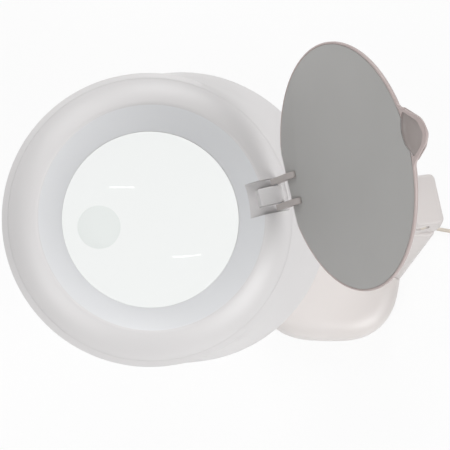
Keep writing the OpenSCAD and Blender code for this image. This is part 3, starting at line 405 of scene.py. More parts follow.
def thin_coat(name, colour, shade, roughness, spot_mm, transmission=0.0):
    """A thin coat or sheet, even but for faint spots; some let light through."""
    material, output = new_material(name)
    place = add_node(material, "ShaderNodeTexCoord").outputs["Object"]
    spots = add_node(material, "ShaderNodeTexVoronoi", Vector=place,
                     Scale=1 / (spot_mm * MM))
    tone = add_node(material, "ShaderNodeMix", {"data_type": "RGBA"},
                    i0=spots.outputs["Distance"], i6=linear(colour), i7=linear(shade))
    bump = add_node(material, "ShaderNodeBump", Strength=0.1, Distance=0.03 * MM,
                    Height=spots.outputs["Distance"])
    shader = add_node(material, "ShaderNodeBsdfPrincipled", Roughness=roughness,
                      Transmission_Weight=transmission, Base_Color=tone.outputs[2],
                      Normal=bump.outputs["Normal"])
    return finish_material(material, output, shader)


acrylic = clear_acrylic("clear_acrylic")
solder_mask = thin_coat("white_solder_mask", "#E9ECE6", "#DDE1DA", 0.35, 3.0)
phosphor = thin_coat("yellow_phosphor", "#EFDF8A", "#E3CF6C", 0.25, 0.6)
opal_sheet = thin_coat("opal_acrylic_sheet", "#F4F4F0", "#EEEEEA", 0.45, 1.5, 0.25)

# %% [markdown]
# ## Shaping by rings
#
# Most of the lamp's parts are turned or lofted forms. Each starts as a circle
# primitive whose points are put on the first outline. The edge loop is then
# extruded and its new points are put on the next outline, again and again, as one
# would pull a form up by hand. The ends are filled, closed to a point or left
# open. Working this way gives an even flow of faces, which shades smoothly.

# %% Shaping helpers
def only(obj):
    """Leaves object mode with just this object selected and active."""
    if bpy.context.mode != "OBJECT":
        bpy.ops.object.mode_set(mode="OBJECT")
    bpy.ops.object.select_all(action="DESELECT")
    if obj:
        obj.select_set(True)
        bpy.context.view_layer.objects.active = obj


def select_ring(obj, first, count):
    """Selects the vertices with numbers first to first + count - 1."""
    bpy.ops.mesh.select_all(action="DESELECT")
    mesh = bmesh.from_edit_mesh(obj.data)
    mesh.verts.ensure_lookup_table()
    for vert in mesh.verts[first:first + count]:
        vert.select = True
    mesh.select_flush(True)
    bmesh.update_edit_mesh(obj.data)


def put_ring(obj, first, ring):
    """Puts the vertices from number first onwards on the points of a ring."""
    mesh = bmesh.from_edit_mesh(obj.data)
    mesh.verts.ensure_lookup_table()
    for vert, place in zip(mesh.verts[first:], ring):
        vert.co = place
    bmesh.update_edit_mesh(obj.data)


def close_end(kind):
    """Closes the selected ring with a face or to a point; an open one stays."""
    if kind == "fill":
        bpy.ops.mesh.edge_face_add()
    elif kind == "point":
        bpy.ops.mesh.merge(type="CENTER")


def skin(name, rings, frame_matrix, low="fill", high="fill", loop=False, angle=35):
    """A form pulled up through rings of points, given in a frame's millimetres.

    Each end is filled, closed to a point or left open; a loop joins the two ends."""
    only(None)
    count = len(rings[0])
    bpy.ops.mesh.primitive_circle_add(vertices=count, radius=1, location=(0, 0, 0))
    obj = bpy.context.active_object
    obj.name = obj.data.name = name
    bpy.ops.object.mode_set(mode="EDIT")
    bpy.ops.mesh.select_all(action="SELECT")
    for k, ring in enumerate(rings):
        if k > 0:
            bpy.ops.mesh.extrude_region_move(TRANSFORM_OT_translate={"value": (0, 0, 0)})
        put_ring(obj, k * count, [frame_matrix @ Vector(p) for p in ring])
    if loop:
        select_two_loops(obj, 0, (len(rings) - 1) * count, count)
        bpy.ops.mesh.bridge_edge_loops()
        bpy.ops.mesh.select_mode(type="VERT")
    else:
        close_end(high)
        select_ring(obj, 0, count)
        close_end(low)
    bpy.ops.mesh.select_all(action="SELECT")
    bpy.ops.mesh.normals_make_consistent(inside=False)
    bpy.ops.object.mode_set(mode="OBJECT")
    smooth(obj, angle)
    return obj


def select_two_loops(obj, a, b, count):
    """Selects only the edges of two rings, so that they can be bridged."""
    bpy.ops.mesh.select_all(action="DESELECT")
    bpy.ops.mesh.select_mode(type="EDGE")
    mesh = bmesh.from_edit_mesh(obj.data)
    for edge in mesh.edges:
        i, j = sorted(v.index for v in edge.verts)
        for start in (a, b):
            if start <= i and j < start + count and (j - i == 1 or j - i == count - 1):
                edge.select = True
    bmesh.update_edit_mesh(obj.data)


def smooth(obj, angle=35):
    """Shades a piece smooth but for the edges that are sharper than the angle."""
    only(obj)
    bpy.ops.object.shade_smooth_by_angle(angle=math.radians(angle))
    return obj


def circle(radius, z, steps=96, x=0.0, y=0.0):
    """A ring of points at a height."""
    return [(x + radius * math.cos(2 * math.pi * i / steps),
             y + radius * math.sin(2 * math.pi * i / steps), z) for i in range(steps)]


def disc(radius, steps=48, x=0.0, y=0.0):
    """The outline of a disc."""
    return [point[:2] for point in circle(radius, 0, steps, x, y)]


def lathe(name, profile, frame_matrix, steps=96, low="fill", high="fill", loop=False,
          angle=35):
    """A turned form: the profile's points are radius and height."""
    rings = [circle(max(r, 0.02), z, steps) for r, z in profile]
    return skin(name, rings, frame_matrix, low, high, loop, angle)


def soften(points, radius, steps=3, closed=True):
    """The outline or profile with each corner rounded by about that radius."""
    soft = []
    count = len(points)
    for i, point in enumerate(points):
        here = Vector(point)
        if not closed and i in (0, count - 1):
            soft.append(tuple(here))
            continue
        before, after = Vector(points[i - 1]), Vector(points[(i + 1) % count])
        to_before, to_after = before - here, after - here
        cut = min(radius, to_before.length * 0.45, to_after.length * 0.45)
        # A tiny or nearly straight corner stays as it is
        if cut < 1e-3 or to_before.angle(to_after) > 3.0:
            soft.append(tuple(here))
            continue
        start = here + to_before.normalized() * cut
        end = here + to_after.normalized() * cut
        for k in range(steps + 1):
            t = k / steps
            soft.append(tuple(start.lerp(here, t).lerp(here.lerp(end, t), t)))
    return soft


def arc(x, y, radius, start, end, steps):
    """Points on an arc, from one angle to the other, in degrees."""
    return [(x + radius * math.cos(math.radians(start + (end - start) * i / steps)),
             y + radius * math.sin(math.radians(start + (end - start) * i / steps)))
            for i in range(steps + 1)]


def rounded_rectangle(size_x, size_y, corner, x=0.0, y=0.0, steps=8):
    """The outline of a rectangle with round corners, about its middle."""
    half_x, half_y = size_x / 2 - corner, size_y / 2 - corner
    return (arc(x + half_x, y + half_y, corner, 0, 90, steps)
            + arc(x - half_x, y + half_y, corner, 90, 180, steps)
            + arc(x - half_x, y - half_y, corner, 180, 270, steps)
            + arc(x + half_x, y - half_y, corner, 270, 360, steps))


def inset(outline, distance):
    """The outline moved inwards; its points run anticlockwise."""
    moved = []
    count = len(outline)
    for i, point in enumerate(outline):
        here = Vector(point)
        first = here - Vector(outline[i - 1])
        second = Vector(outline[(i + 1) % count]) - here
        if first.length < 1e-6 or second.length < 1e-6:
            first = second = first if first.length > second.length else second
        normals = [Vector((-e.y, e.x)).normalized() for e in (first, second)]
        middle = (normals[0] + normals[1]).normalized()
        moved.append(tuple(here + middle * distance / max(middle.dot(normals[0]), 0.6)))
    return moved


def raised(outline, height):
    """A flat outline as a ring at that height."""
    return [(x, y, height) for x, y in outline]


def quarter(steps, first=0):
    """How far in and how far up the steps round an edge lie, from 0 to 1."""
    angles = [math.radians(90 * i / steps) for i in range(first, steps + 1)]
    return [(1 - math.cos(a), math.sin(a)) for a in angles]


def slab(name, outline, frame_matrix, low, high, edge=0.6, low_edge=None, steps=3,
         angle=35):
    """A plate of that outline with rounded rims, from one height to another."""
    low_edge = edge if low_edge is None else low_edge
    bend = quarter(steps)[::-1]
    rings = [raised(inset(outline, low_edge * inward), low + low_edge * (1 - up))
             for inward, up in bend]
    rings += [raised(inset(outline, edge * (1 - up)), high - edge * inward)
              for inward, up in bend]
    return skin(name, rings, frame_matrix, angle=angle)


def combine(obj, others, operation="DIFFERENCE", angle=35):
    """Cuts the other forms from a form, or joins them to it, and removes them."""
    only(obj)
    for other in others:
        modifier = obj.modifiers.new("cut", "BOOLEAN")
        modifier.operation = operation
        modifier.solver = "EXACT"
        modifier.object = other
        bpy.ops.object.modifier_apply(modifier=modifier.name)
    for other in others:
        bpy.data.objects.remove(other)
    return tidy(obj, angle)


def tidy(obj, angle=35):
    """Merges doubles, recalculates the normals and shades by angle."""
    only(obj)
    bpy.ops.object.mode_set(mode="EDIT")
    bpy.ops.mesh.select_all(action="SELECT")
    bpy.ops.mesh.remove_doubles(threshold=0.01 * MM)
    bpy.ops.mesh.dissolve_degenerate(threshold=0.002 * MM)
    bpy.ops.mesh.normals_make_consistent(inside=False)
    bpy.ops.object.mode_set(mode="OBJECT")
    return smooth(obj, angle)


def wall(obj, thickness, angle=35):
    """Gives an open skin its wall, grown inwards."""
    only(obj)
    modifier = obj.modifiers.new("wall", "SOLIDIFY")
    modifier.thickness = thickness * MM
    modifier.offset = -1
    modifier.use_even_offset = True
    bpy.ops.object.modifier_apply(modifier=modifier.name)
    return smooth(obj, angle)


def place_piece(obj, material, body, nodes):
    """Gives a finished piece its material, its body and its CAD parts."""
    obj.data.materials.clear()
    obj.data.materials.append(material)
    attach(obj, body)
    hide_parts(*nodes)
    print(obj.name, "with", len(obj.data.polygons), "faces")
    return obj


def paint(obj, material, frame_matrix, test):
    """Gives the faces for which the test is true a second material.

    The test gets a face's middle and normal in the frame's millimetres."""
    obj.data.materials.append(material)
    index = len(obj.data.materials) - 1
    back = frame_matrix.inverted()
    count = 0
    for face in obj.data.polygons:
        if test(back @ face.center, (back.to_3x3() @ face.normal).normalized()):
            face.material_index = index
            count += 1
    print(obj.name, count, "faces of", material.name)


SIDE = turn("X", 90)   # local X and Y stand upright, local +Z points to -Y

# %% [markdown]
# ## Base
#
# The base is a low pebble: its outline lies between an ellipse and a rectangle,
# its edge rolls over in a wide curve, and its top is slightly crowned so that it
# looks full. The real one is a moulded cover over an iron weight. The outline is
# a superellipse, and every ring is the same curve with smaller half sizes.

# %% Base cover
HALF_X, HALF_Y = 65, 90       # half sizes of the largest outline
FULLNESS = 2 / 3              # 1 is an ellipse, towards 0 a rectangle
ROLL_Z, ROLL_IN, ROLL_UP = 14, 16.25, 13
CROWN_IN, CROWN_UP = 42, 2


def pebble(inset_by, height, steps=144):
    """One outline of the base, that far inside its largest one."""
    ring = []
    for i in range(steps):
        a = 2 * math.pi * i / steps
        c, s = math.cos(a), math.sin(a)
        ring.append(((HALF_X - inset_by) * math.copysign(abs(c) ** FULLNESS, c),
                     (HALF_Y - inset_by) * math.copysign(abs(s) ** FULLNESS, s),
                     height))
    return ring


rings = [pebble(shrink, z) for shrink, z in (
    (1.9, 2.0), (1.2, 2.4), (0.3, 4.0), (0, 6.0), (0, 10.0))]
rings += [pebble(ROLL_IN * inward, ROLL_Z + ROLL_UP * up) for inward, up in quarter(12)]
rings += [pebble(ROLL_IN + CROWN_IN * t, ROLL_Z + ROLL_UP + CROWN_UP * ease(t))
          for t in (i / 8 for i in range(1, 9))]
base_shell = skin("base_shell", rings, WORLD, low="open", high="fill", angle=60)
wall(base_shell, 2.4, angle=60)

# %% [markdown]
# The column passes through the cover with a fine gap all round. A cutter of the
# column's own shape, slightly larger, takes the opening out of the cover, and a
# small round cutter makes the hole for the lead's strain relief.

# %% Openings in the base cover
COLUMN_X = 47.3
COLUMN_LOW, COLUMN_HIGH = 20.0, 107.0
LEAD_OUT = WORLD @ shift(0, 15, 9) @ turn("Y", 90)   # +Z runs out along the lead


def column_ring(height, grow):
    """The column's outline at a height: it narrows in Y and widens a little in X."""
    share = (height - COLUMN_LOW) / (COLUMN_HIGH - COLUMN_LOW)
    return raised(rounded_rectangle(
        35.6 + 2.9 * share + 2 * grow, 76 - 30 * share + 2 * grow, 6 + grow,
        COLUMN_X + 1.75 * share, 0, steps=7), height)


column_cutter = skin("column_cutter", [column_ring(17.5, 0.45), column_ring(60, 0.45)],
                     WORLD)
grip_cutter = slab("grip_cutter", disc(4.15, 32), LEAD_OUT, 55, 75, edge=0.1)
combine(base_shell, [column_cutter, grip_cutter], angle=45)
place_piece(base_shell, base_abs, "base", ["base_cover"])

# %% [markdown]
# ## Column
#
# The column is a tapered tube of rectangular section with round corners. It
# stands in the base on a narrower foot. The top edge has a small radius, and a
# bush sits in a hole in the top, which carries everything above.

# %% Column
EDGE_Z, EDGE_R = 104.6, 2.4   # where the rounded top edge starts, and its radius

foot = rounded_rectangle(28, 68, 6, 44.8, 0, steps=7)
rings = [raised(foot, 4.5), raised(foot, 19.6), column_ring(COLUMN_LOW, -0.4)]
rings += [column_ring(height, 0) for height in (20.4, 45, 70, 90, EDGE_Z)]
rings += [column_ring(EDGE_Z + EDGE_R * up, -EDGE_R * inward)
          for inward, up in quarter(5, first=1)]
column = skin("column_body", rings, WORLD, low="open", high="fill", angle=40)
wall(column, 2.6)
bush_cutter = slab("bush_cutter", disc(10, 48, SWIVEL_X), WORLD, 95, 115, edge=0.1)
combine(column, [bush_cutter], angle=40)
place_piece(column, column_abs, "base", ["column_shell"])

# %% [markdown]
# ## Swivel cap and lid
#
# The cap turns on the column. Its lower part is a solid block with two ears that
# hold the arm's pin, and a lid clips on top to cover the wires. The lid leans in a
# little, has a soft top edge, and has a slot on one side where a loop of the inner
# lead shows.

# %% Cap with its ears
CAP_FRONT, CAP_BACK = 4.2, 21.0   # from the swivel's axis
CAP_Z, LID_Z = 107.6, 117.0       # undersides of the cap and of the lid
EAR_IN, EAR_OUT = 11.4, 18.4      # from the middle plane


def cap_outline(shrink, lean=0.0, steps=7):
    """The cap's outline, made smaller all round and leaning in at the two sides."""
    return rounded_rectangle(CAP_BACK + CAP_FRONT - 2 * shrink, 44 - 2 * (shrink + lean),
                             4.5 - 0.4 * shrink, (CAP_BACK - CAP_FRONT) / 2, 0, steps)


cap = slab("swivel_block", cap_outline(0), SWIVEL, CAP_Z, LID_Z, edge=0.35, low_edge=0.4)
ear_side = arc(LIFT_X, LIFT_Z, 12.5, 20, 258, 30) \
    + [(-12, CAP_Z + 0.01), (6, CAP_Z + 0.01), (6, LID_Z - 0.4), (-4.3, LID_Z - 0.4),
       (-4.3, 122.8)]
ears = [slab("ear", soften(ear_side, 0.5, 2), SWIVEL @ SIDE, low, high, edge=0.9)
        for low, high in ((EAR_IN, EAR_OUT), (-EAR_OUT, -EAR_IN))]
arm_space = slab("arm_space", disc(12.6, 64, LIFT_X, LIFT_Z), SWIVEL @ SIDE,
                 -EAR_IN, EAR_IN, edge=0.1)
stud_space = slab("stud_space", disc(7.02, 48), SWIVEL, 100, 125, edge=0.1)
combine(cap, ears, "UNION")
combine(cap, [arm_space, stud_space])
place_piece(cap, column_abs, "swivel", ["swivel_cap"])

# %% Lid with its slot
LID_R = 2.5   # radius of the lid's top edge

rings = [raised(cap_outline(0, 0.375 * i), LID_Z + 0.1 + 1.6 * i) for i in range(5)]
rings += [raised(cap_outline(LID_R * inward, 1.5), LID_Z + 6.5 + LID_R * up)
          for inward, up in quarter(7, first=1)]
lid = skin("swivel_lid_shell", rings, SWIVEL, low="open", high="fill", angle=50)
wall(lid, 2.0)
slot = slab("slot", rounded_rectangle(10.5, 4.2, 1.2, steps=4),
            SWIVEL @ SIDE @ shift(4.2, LID_Z + 2.6, 0) @ turn("Z", 14), 17.5, 26, edge=0.1)
combine(lid, [slot], angle=50)
place_piece(lid, column_abs, "swivel", ["swivel_lid"])

# %% [markdown]
# ## Ring of the head
#
# The ring frames the lens. Its outer face rolls down from a soft crest, and a
# cone dishes in from the crest to the lens opening. It is a turned form with a
# closed profile: the profile is swept round and its last outline is bridged to
# the first. On the mould this is one core and one cavity, so every wall is 2.5 mm.

# %% Profile of the ring
def bezier(a, b, c, d, steps):
    """Points on a cubic curve."""
    points = []
    for k in range(steps + 1):
        t = k / steps
        w = ((1 - t) ** 3, 3 * (1 - t) ** 2 * t, 3 * (1 - t) * t * t, t ** 3)
        points.append(tuple(sum(wi * p[i] for wi, p in zip(w, (a, b, c, d)))
                            for i in (0, 1)))
    return points


ring_slope = bezier((78.5, 0), (88, -1), (101, -10), (102.3, -20.5), 16)
ring_inside = bezier((78.5, -2.5), (87, -3.5), (98.5, -11), (99.8, -22), 12)[::-1]
dish_edge = soften([(61.6, -19.4), (61.6, -16.9), (77.4, -0.5), (78.5, 0.0)], 0.7, 3,
                   closed=False)
ring_foot = [(102.3, -21.6), (101.9, -22), (100.1, -22)]
lens_seat = [(76.5, -3.7), (65.7, -16.9), (65.7, -22.5), (63.7, -22.5), (63.7, -19.4)]
ring_profile = dish_edge[:-1] + ring_slope + ring_foot + ring_inside[1:] + lens_seat
head_ring = lathe("ring_cover", ring_profile, HEAD, steps=160, loop=True, angle=40)

# %% [markdown]
# The cover's hinge sits in a pocket in the ring. Below the pocket the wall is
# thickened to a little tray. The tray is a block trimmed to the ring's own form,
# joined on, and then the pocket is cut out of both. The bezel round the lens is a
# part of its own in the CAD model, clamped under the ring. The two meet without a
# step, so one form stands for both here, and the dish gets the bezel's cooler
# tone, made lighter as well as painted light.

# %% Hinge pocket
tray = slab("tray", rounded_rectangle(31.5, 28, 1.5, 82.25, 0, steps=4), HINGE,
            -11.6, 3, edge=0.3)
under_face = [(r - 0.1, z - 0.1) for r, z in ring_slope if z > -16]
trim = lathe("trim", [(62.5, -18), (100.5, -18)] + under_face[::-1]
             + [(77.3, -0.7), (62.5, -16.2)], HEAD, steps=160, loop=True)
combine(tray, [trim], "INTERSECT")
combine(head_ring, [tray], "UNION")
pocket = slab("pocket", rounded_rectangle(35.5, 24, 0.8, 78.25, 0, steps=3), HINGE,
              -9.6, 8, edge=0.3)
combine(head_ring, [pocket], angle=40)
place_piece(head_ring, head_abs, "head", ["head_ring", "lens_bezel"])
# Painted light: the dish gets the bezel's cooler white, made lighter than the ring's.
paint(head_ring, bezel_lit_abs, HEAD, lambda p, n: p.xy.length < 77.3 and p.z > -20
      and n.z > 0.2 and abs(n.xy.length - 0.7) < 0.25)

# %% [markdown]
# ## Housing of the head
#
# Behind the ring the housing swells towards the arm, because it holds the driver
# and the switch there. Its outline is a front circle joined to a larger one that
# lies further back, so it is an egg. It tucks in below the widest level and
# slopes up above it until it dips under the ring. An outer and an inner form are
# lofted from the same outlines, and the inner one is cut out of the outer one.

# %% Egg-shaped outlines
BODY_R, BODY_BACK = 103.5, 25         # the larger circle, and how far back it lies
WIDE_LEVEL = 33                       # depth of the widest outline
MOUTH_R, MOUTH_LEVEL = 96.5, 10       # the circle under the ring


def egg(level, radius, shift_x, steps=192):
    """A front circle joined to a larger one that lies further back."""
    ring = []
    for i in range(steps):
        a = 2 * math.pi * i / steps
        # The two circles share a tangent where the cosine is -1 / shift_x
        back = math.cos(a) > -1 / shift_x
        r = radius if back else radius - 1
        ring.append(((shift_x if back else 0) + r * math.cos(a), r * math.sin(a), -level))
    return ring


def shoulder(level, thickness, steps=192):
    """Between the widest outline and the circle where the ring covers it."""
    share = (WIDE_LEVEL - level) / (WIDE_LEVEL - MOUTH_LEVEL)
    ring = []
    for i, low in enumerate(egg(0, BODY_R - thickness, BODY_BACK, steps)):
        a = 2 * math.pi * i / steps
        x = (1 - share) * low[0] + share * (MOUTH_R - thickness) * math.cos(a)
        y = (1 - share) * low[1] + share * (MOUTH_R - thickness) * math.sin(a)
        # It stays as wide as the ring until it dips under it
        grow = max(1, (102.2 - thickness) / math.hypot(x, y)) if share < 1 else 1
        ring.append((x * grow, y * grow, -level - thickness * 0.4))
    return ring


def housing_form(name, thickness):
    """The housing's form, that much smaller all round, from the floor up."""
    tucks = [(52, 10), (51.3, 7.9), (50, 5.8), (47, 3), (43, 1), (38, 0)]
    rings = [egg(level - (thickness if tuck > 0 else 0), BODY_R - tuck - thickness,
                 BODY_BACK - tuck / 6) for level, tuck in tucks]
    rings.append(egg(WIDE_LEVEL + 0.4 * thickness, BODY_R - thickness, BODY_BACK))
    rings += [shoulder(level, thickness)
              for level in (31, 28, 25, 22, 18, 14, MOUTH_LEVEL)]
    return skin(name, rings, HEAD, angle=40)


housing = housing_form("head_shell", 0)
inside = housing_form("inside", 2.5)
ring_space = lathe("ring_space", [(0, -22.1), (102.42, -22.1)]
                   + [(r + 0.12, z) for r, z in ring_slope[::-1]] + [(78.6, 6), (0, 6)],
                   HEAD, steps=160)
well_mouth = lathe("well_mouth", [(67.4, -60), (67.4, -40)], HEAD, steps=128)
combine(housing, [inside, ring_space, well_mouth], angle=40)

# %% [markdown]
# The light well is a cone that opens downwards, so that nobody sees the lights
# through the lens. The collar at the back carries the yoke. Four curved windows
# in the floor let the light out, four countersunk screws close the housing, and a
# round recess in the shoulder takes the switch button.

# %% Well, collar, windows and recess
well = lathe("well", [(62.2, -23), (65.7, -23), (65.7, -26), (69, -51.9), (67, -51.9)],
             HEAD, steps=128, loop=True)
AXLE = HEAD @ shift(0, 0, -ROLL_DEPTH) @ turn("Y", 90)   # +Z runs towards the arm
collar = lathe("collar", soften([(8.05, 104), (12.5, 104), (12.5, 129.6), (8.05, 129.6)],
                                0.6, 2), AXLE, steps=64, loop=True)
axle_bore = lathe("axle_bore", [(8.05, 100), (8.05, 135)], AXLE, steps=64)
BUTTON = HEAD @ turn("Z", 16) @ shift(112, 0, -21.58) @ turn("Y", 36.75)
combine(housing, [axle_bore], angle=40)
combine(housing, [well, collar], "UNION", angle=40)
BRIDGE = 2.7   # half the angle of the bridge between two windows
cuts = []
for k in range(4):
    low, high = 90 * k - 45 + BRIDGE, 90 * k + 45 - BRIDGE
    window = arc(0, 0, 84.5, low, high, 40) + arc(0, 0, 71, high, low, 40)
    cuts.append(slab("window", soften(window, 1.2, 2), HEAD, -54, -48, edge=0.1))
for angle in (25, 155, 205, 335):
    cuts.append(lathe("screw_recess", [(3, -54), (3, -50), (1.7, -49.99), (1.7, -44)],
                      HEAD @ turn("Z", angle) @ shift(90, 0, 0), steps=32))
cuts.append(lathe("button_recess", [(5.05, -12), (5.05, -2.6), (8.15, -2.59), (8.15, 8)],
                  BUTTON, steps=64))
combine(housing, cuts, angle=40)
place_piece(housing, head_abs, "head", ["head_housing"])

# %% [markdown]
# ## Lenses and button
#
# Both faces of the big lens are parts of a sphere of 346 mm radius, ground flat
# at the rim where the gasket holds it. The small lens, cut to a stronger curve,
# is bonded under it. The button has a soft rim and a slightly dished top.

# %% Lenses and push button
LENS_R, LENS_CURVE = 61.4, 346      # the curved part, and its sphere
LENS_LOW, LENS_HIGH = -22.5, -19.5  # the two faces of the flat rim
INSET_R, INSET_CURVE, INSET_X = 15, 41, 36


def lens_height(radius, curve, half):
    """How far the face stands out at a radius; half is where it meets the rim."""
    return math.sqrt(curve ** 2 - radius ** 2) - math.sqrt(curve ** 2 - half ** 2)


face = [LENS_R * k / 24 for k in range(25)]
profile = [(r, LENS_LOW - lens_height(r, LENS_CURVE, LENS_R)) for r in face]
profile += [(63.3, LENS_LOW), (63.5, -22.3), (63.5, -19.7), (63.3, LENS_HIGH)]
profile += [(r, LENS_HIGH + lens_height(r, LENS_CURVE, LENS_R)) for r in face[::-1]]
big_lens = lathe("magnifying_lens", profile, HEAD, steps=160, low="point", high="point",
                 angle=20)
place_piece(big_lens, acrylic, "head", ["main_lens"])

seat = LENS_LOW - lens_height(INSET_X, LENS_CURVE, LENS_R)
SMALL = HEAD @ shift(-INSET_X, 0, seat - 0.4) \
    @ turn("Y", math.degrees(math.asin(INSET_X / LENS_CURVE)))
face = [INSET_R * k / 16 for k in range(17)]
profile = [(r, -lens_height(r, INSET_CURVE, INSET_R)) for r in face] \
    + [(14.9, -0.01), (0, 0)]
small_lens = lathe("strong_lens", profile, SMALL, steps=96, low="point", high="point",
                   angle=20)
place_piece(small_lens, acrylic, "head", ["inset_lens"])

top = [(8 * k / 10, 1.15 + 0.2 * (k / 10) ** 2) for k in range(9)]
profile = [(0, -9)] + soften([(5, -9), (5, -1.5), (8, -1.5), (8, 0.9), (7.2, 1.38)],
                             0.5, 3, closed=False) + top[::-1]
button = lathe("switch_button", profile, BUTTON, steps=64, low="point", high="point")
place_piece(button, button_abs, "button", ["power_button"])

# %% [markdown]
# ## Arm
#
# The arm is a steel bar between two plastic half casings. The casing's side view
# is a slim drop: a round end of 12 mm at the lift pin, one of 11.2 mm at the tilt
# pin, and straight lines between them. Each half is a plate with a rounded outer
# rim, hollowed out from the seam, with bosses where the pins and screws pass.

# %% Half casings
SCREWS = [ARM_LENGTH * share for share in (0.34, 0.64)]
PINS = (0, ARM_LENGTH)


def drop(shrink, steps=24):
    """Side outline of the arm, from the lift pin's end round the tilt pin's end."""
    return arc(ARM_LENGTH, 0, 11.2 - shrink, -90.6, 90.6, steps) \
        + arc(0, 0, 12 - shrink, 90.6, 269.4, steps)


def bore(radius, x, low, high, frame_matrix):
    """A cutter or a boss across the arm, between two heights."""
    return slab("bore", disc(radius, 40, x), frame_matrix @ SIDE, low, high, edge=0.05)


for name, left in (("arm_left", True), ("arm_right", False)):
    # Heights are counted from the seam, and in this frame they run towards -Y
    reach = (lambda a, b: (-b, -a)) if left else (lambda a, b: (a, b))
    rims = {"edge": 0.2, "low_edge": 2.2} if left else {"edge": 2.2, "low_edge": 0.2}
    half = slab(name + "_casing", drop(0), ARM @ SIDE, *reach(0.05, 10.7), steps=5,
                **rims)
    hollow = slab("hollow", drop(2.2), ARM @ SIDE, *reach(-1, 8.5), edge=0.5)
    combine(half, [hollow])
    bosses = [bore(6.5, x, *reach(3.2, 9.5), ARM) for x in PINS]
    bosses += [bore(4, x, *reach(3.2, 9.5), ARM) for x in SCREWS]
    combine(half, bosses, "UNION")
    cuts = [bore(3.06, x, *reach(-1, 12), ARM) for x in PINS]
    for x in SCREWS:
        # The screws go in from the right and end in the left half
        cuts.append(bore(1.5, x, *reach(-1, 7.7 if left else 12), ARM))
        if not left:
            cuts.append(bore(3, x, *reach(8.7, 12), ARM))
    combine(half, cuts, angle=40)
    place_piece(half, column_abs, "arm", [name])

# %% [markdown]
# ## Yoke
#
# The yoke joins the arm to the head. Two ears hold the arm's end, a plate joins
# them, and a hollow stub on the plate turns in the head's collar, so that the
# head can roll. It is moulded in one piece with softly rounded rims.

# %% Yoke
STUB = YOKE @ turn("Y", 90)   # +Z runs along the roll axis, towards the arm
ear_side = [(131, -11.6)] + arc(TILT_REACH, 0, 11.6, -90, 90, 24) + [(131, 11.6)]
ears = [slab("yoke_ear", soften(ear_side, 0.5, 2), YOKE @ SIDE, low, high, edge=1.2)
        for low, high in ((EAR_IN, EAR_OUT), (-EAR_OUT, -EAR_IN))]
plate = slab("head_fork", rounded_rectangle(23.2, 36.8, 2, steps=5), STUB,
             129.8, 133.8, edge=0.8)
stub = lathe("stub", soften([(4, 96), (8, 96), (8, 131), (4, 131)], 0.5, 2), STUB,
             steps=64, loop=True)
way = lathe("way", [(4, 125), (4, 140)], STUB, steps=64)
combine(plate, ears + [stub], "UNION")
combine(plate, [way, bore(3, TILT_REACH, -25, 25, YOKE)], angle=40)
place_piece(plate, column_abs, "yoke", ["head_yoke"])

# %% [markdown]
# ## Hand knobs and pins
#
# A hand knob has eight scooped grips, so that its outline is a wave, and a raised
# cap in the middle that hides the nut. The pin through the two ears ends in a low
# domed head on the other side.

# %% Knobs and pins
def scalloped(radius, grips=8, scoop=3.0, middle=12.2, steps=160):
    """A circle with round scoops; where a scoop is, its inner side is the outline."""
    ring = []
    for i in range(steps):
        a = 2 * math.pi * i / steps
        nearest = (a + math.pi / grips) % (2 * math.pi / grips) - math.pi / grips
        across = scoop ** 2 - (middle * math.sin(nearest)) ** 2
        r = radius
        if across > 0:
            r = min(r, middle * math.cos(nearest) - math.sqrt(across))
        ring.append((r * math.cos(a), r * math.sin(a)))
    return ring


def knob(name, x, z, frame_matrix, body, node):
    """The knob on the +Y end of the pin at that place."""
    at = frame_matrix @ shift(x, 0, z) @ turn("X", -90)   # local +Z points to +Y
    grip = slab(name + "_grip", soften(scalloped(11), 0.25, 1), at, 21.4, 29.4,
                edge=1.4, low_edge=0.8, steps=4)
    neck = lathe("neck", [(7, 18.7), (7, 22)], at, steps=64)
    cap = lathe("cap", [(6.4, 29), (6.4, 29.8), (6.1, 30.1), (0, 30.4)], at, steps=64,
                high="point")
    groove = lathe("groove", [(6.9, 28.7), (7.7, 28.7), (7.7, 31), (6.9, 31)], at,
                   steps=64, loop=True)
    thread = lathe("thread", [(3, 18), (3, 23.4)], at, steps=40)
    combine(grip, [neck, cap], "UNION")
    combine(grip, [groove, thread], angle=40)
    place_piece(grip, column_abs, body, [node])


def pivot_pin(name, x, z, frame_matrix, body, node):
    """The pin through the ears at that place, its head on the -Y side."""
    at = frame_matrix @ shift(x, 0, z) @ turn("X", -90)
    profile = [(0, -20.4), (2.2, -20.3), (4.2, -19.9), (5.2, -19.2), (5.5, -18.6),
               (5.4, -18.4), (3, -18.4), (3, 23.0), (2.6, 23.4), (0, 23.4)]
    pin = lathe(name, profile, at, steps=64, low="point", high="point")
    place_piece(pin, zinc, body, [node])


knob("lift", LIFT_X, LIFT_Z, SWIVEL, "swivel", "lift_knob")
knob("tilt", TILT_REACH, 0, YOKE, "yoke", "tilt_knob")
pivot_pin("lift_shaft", LIFT_X, LIFT_Z, SWIVEL, "swivel", "lift_pin")
pivot_pin("tilt_shaft", TILT_REACH, 0, YOKE, "yoke", "tilt_pin")

# %% [markdown]
# ## Strain relief, inner lead and adapter
#
# Where the lead leaves the base, a soft sleeve with grooves lets it bend in a
# wide curve and not at one place. A loop of the thin inner lead shows in the slot
# of the lid. The plug-in adapter is a black box with round edges, a parting line
# round its middle where two shells are welded, and a ribbed sleeve of its own.

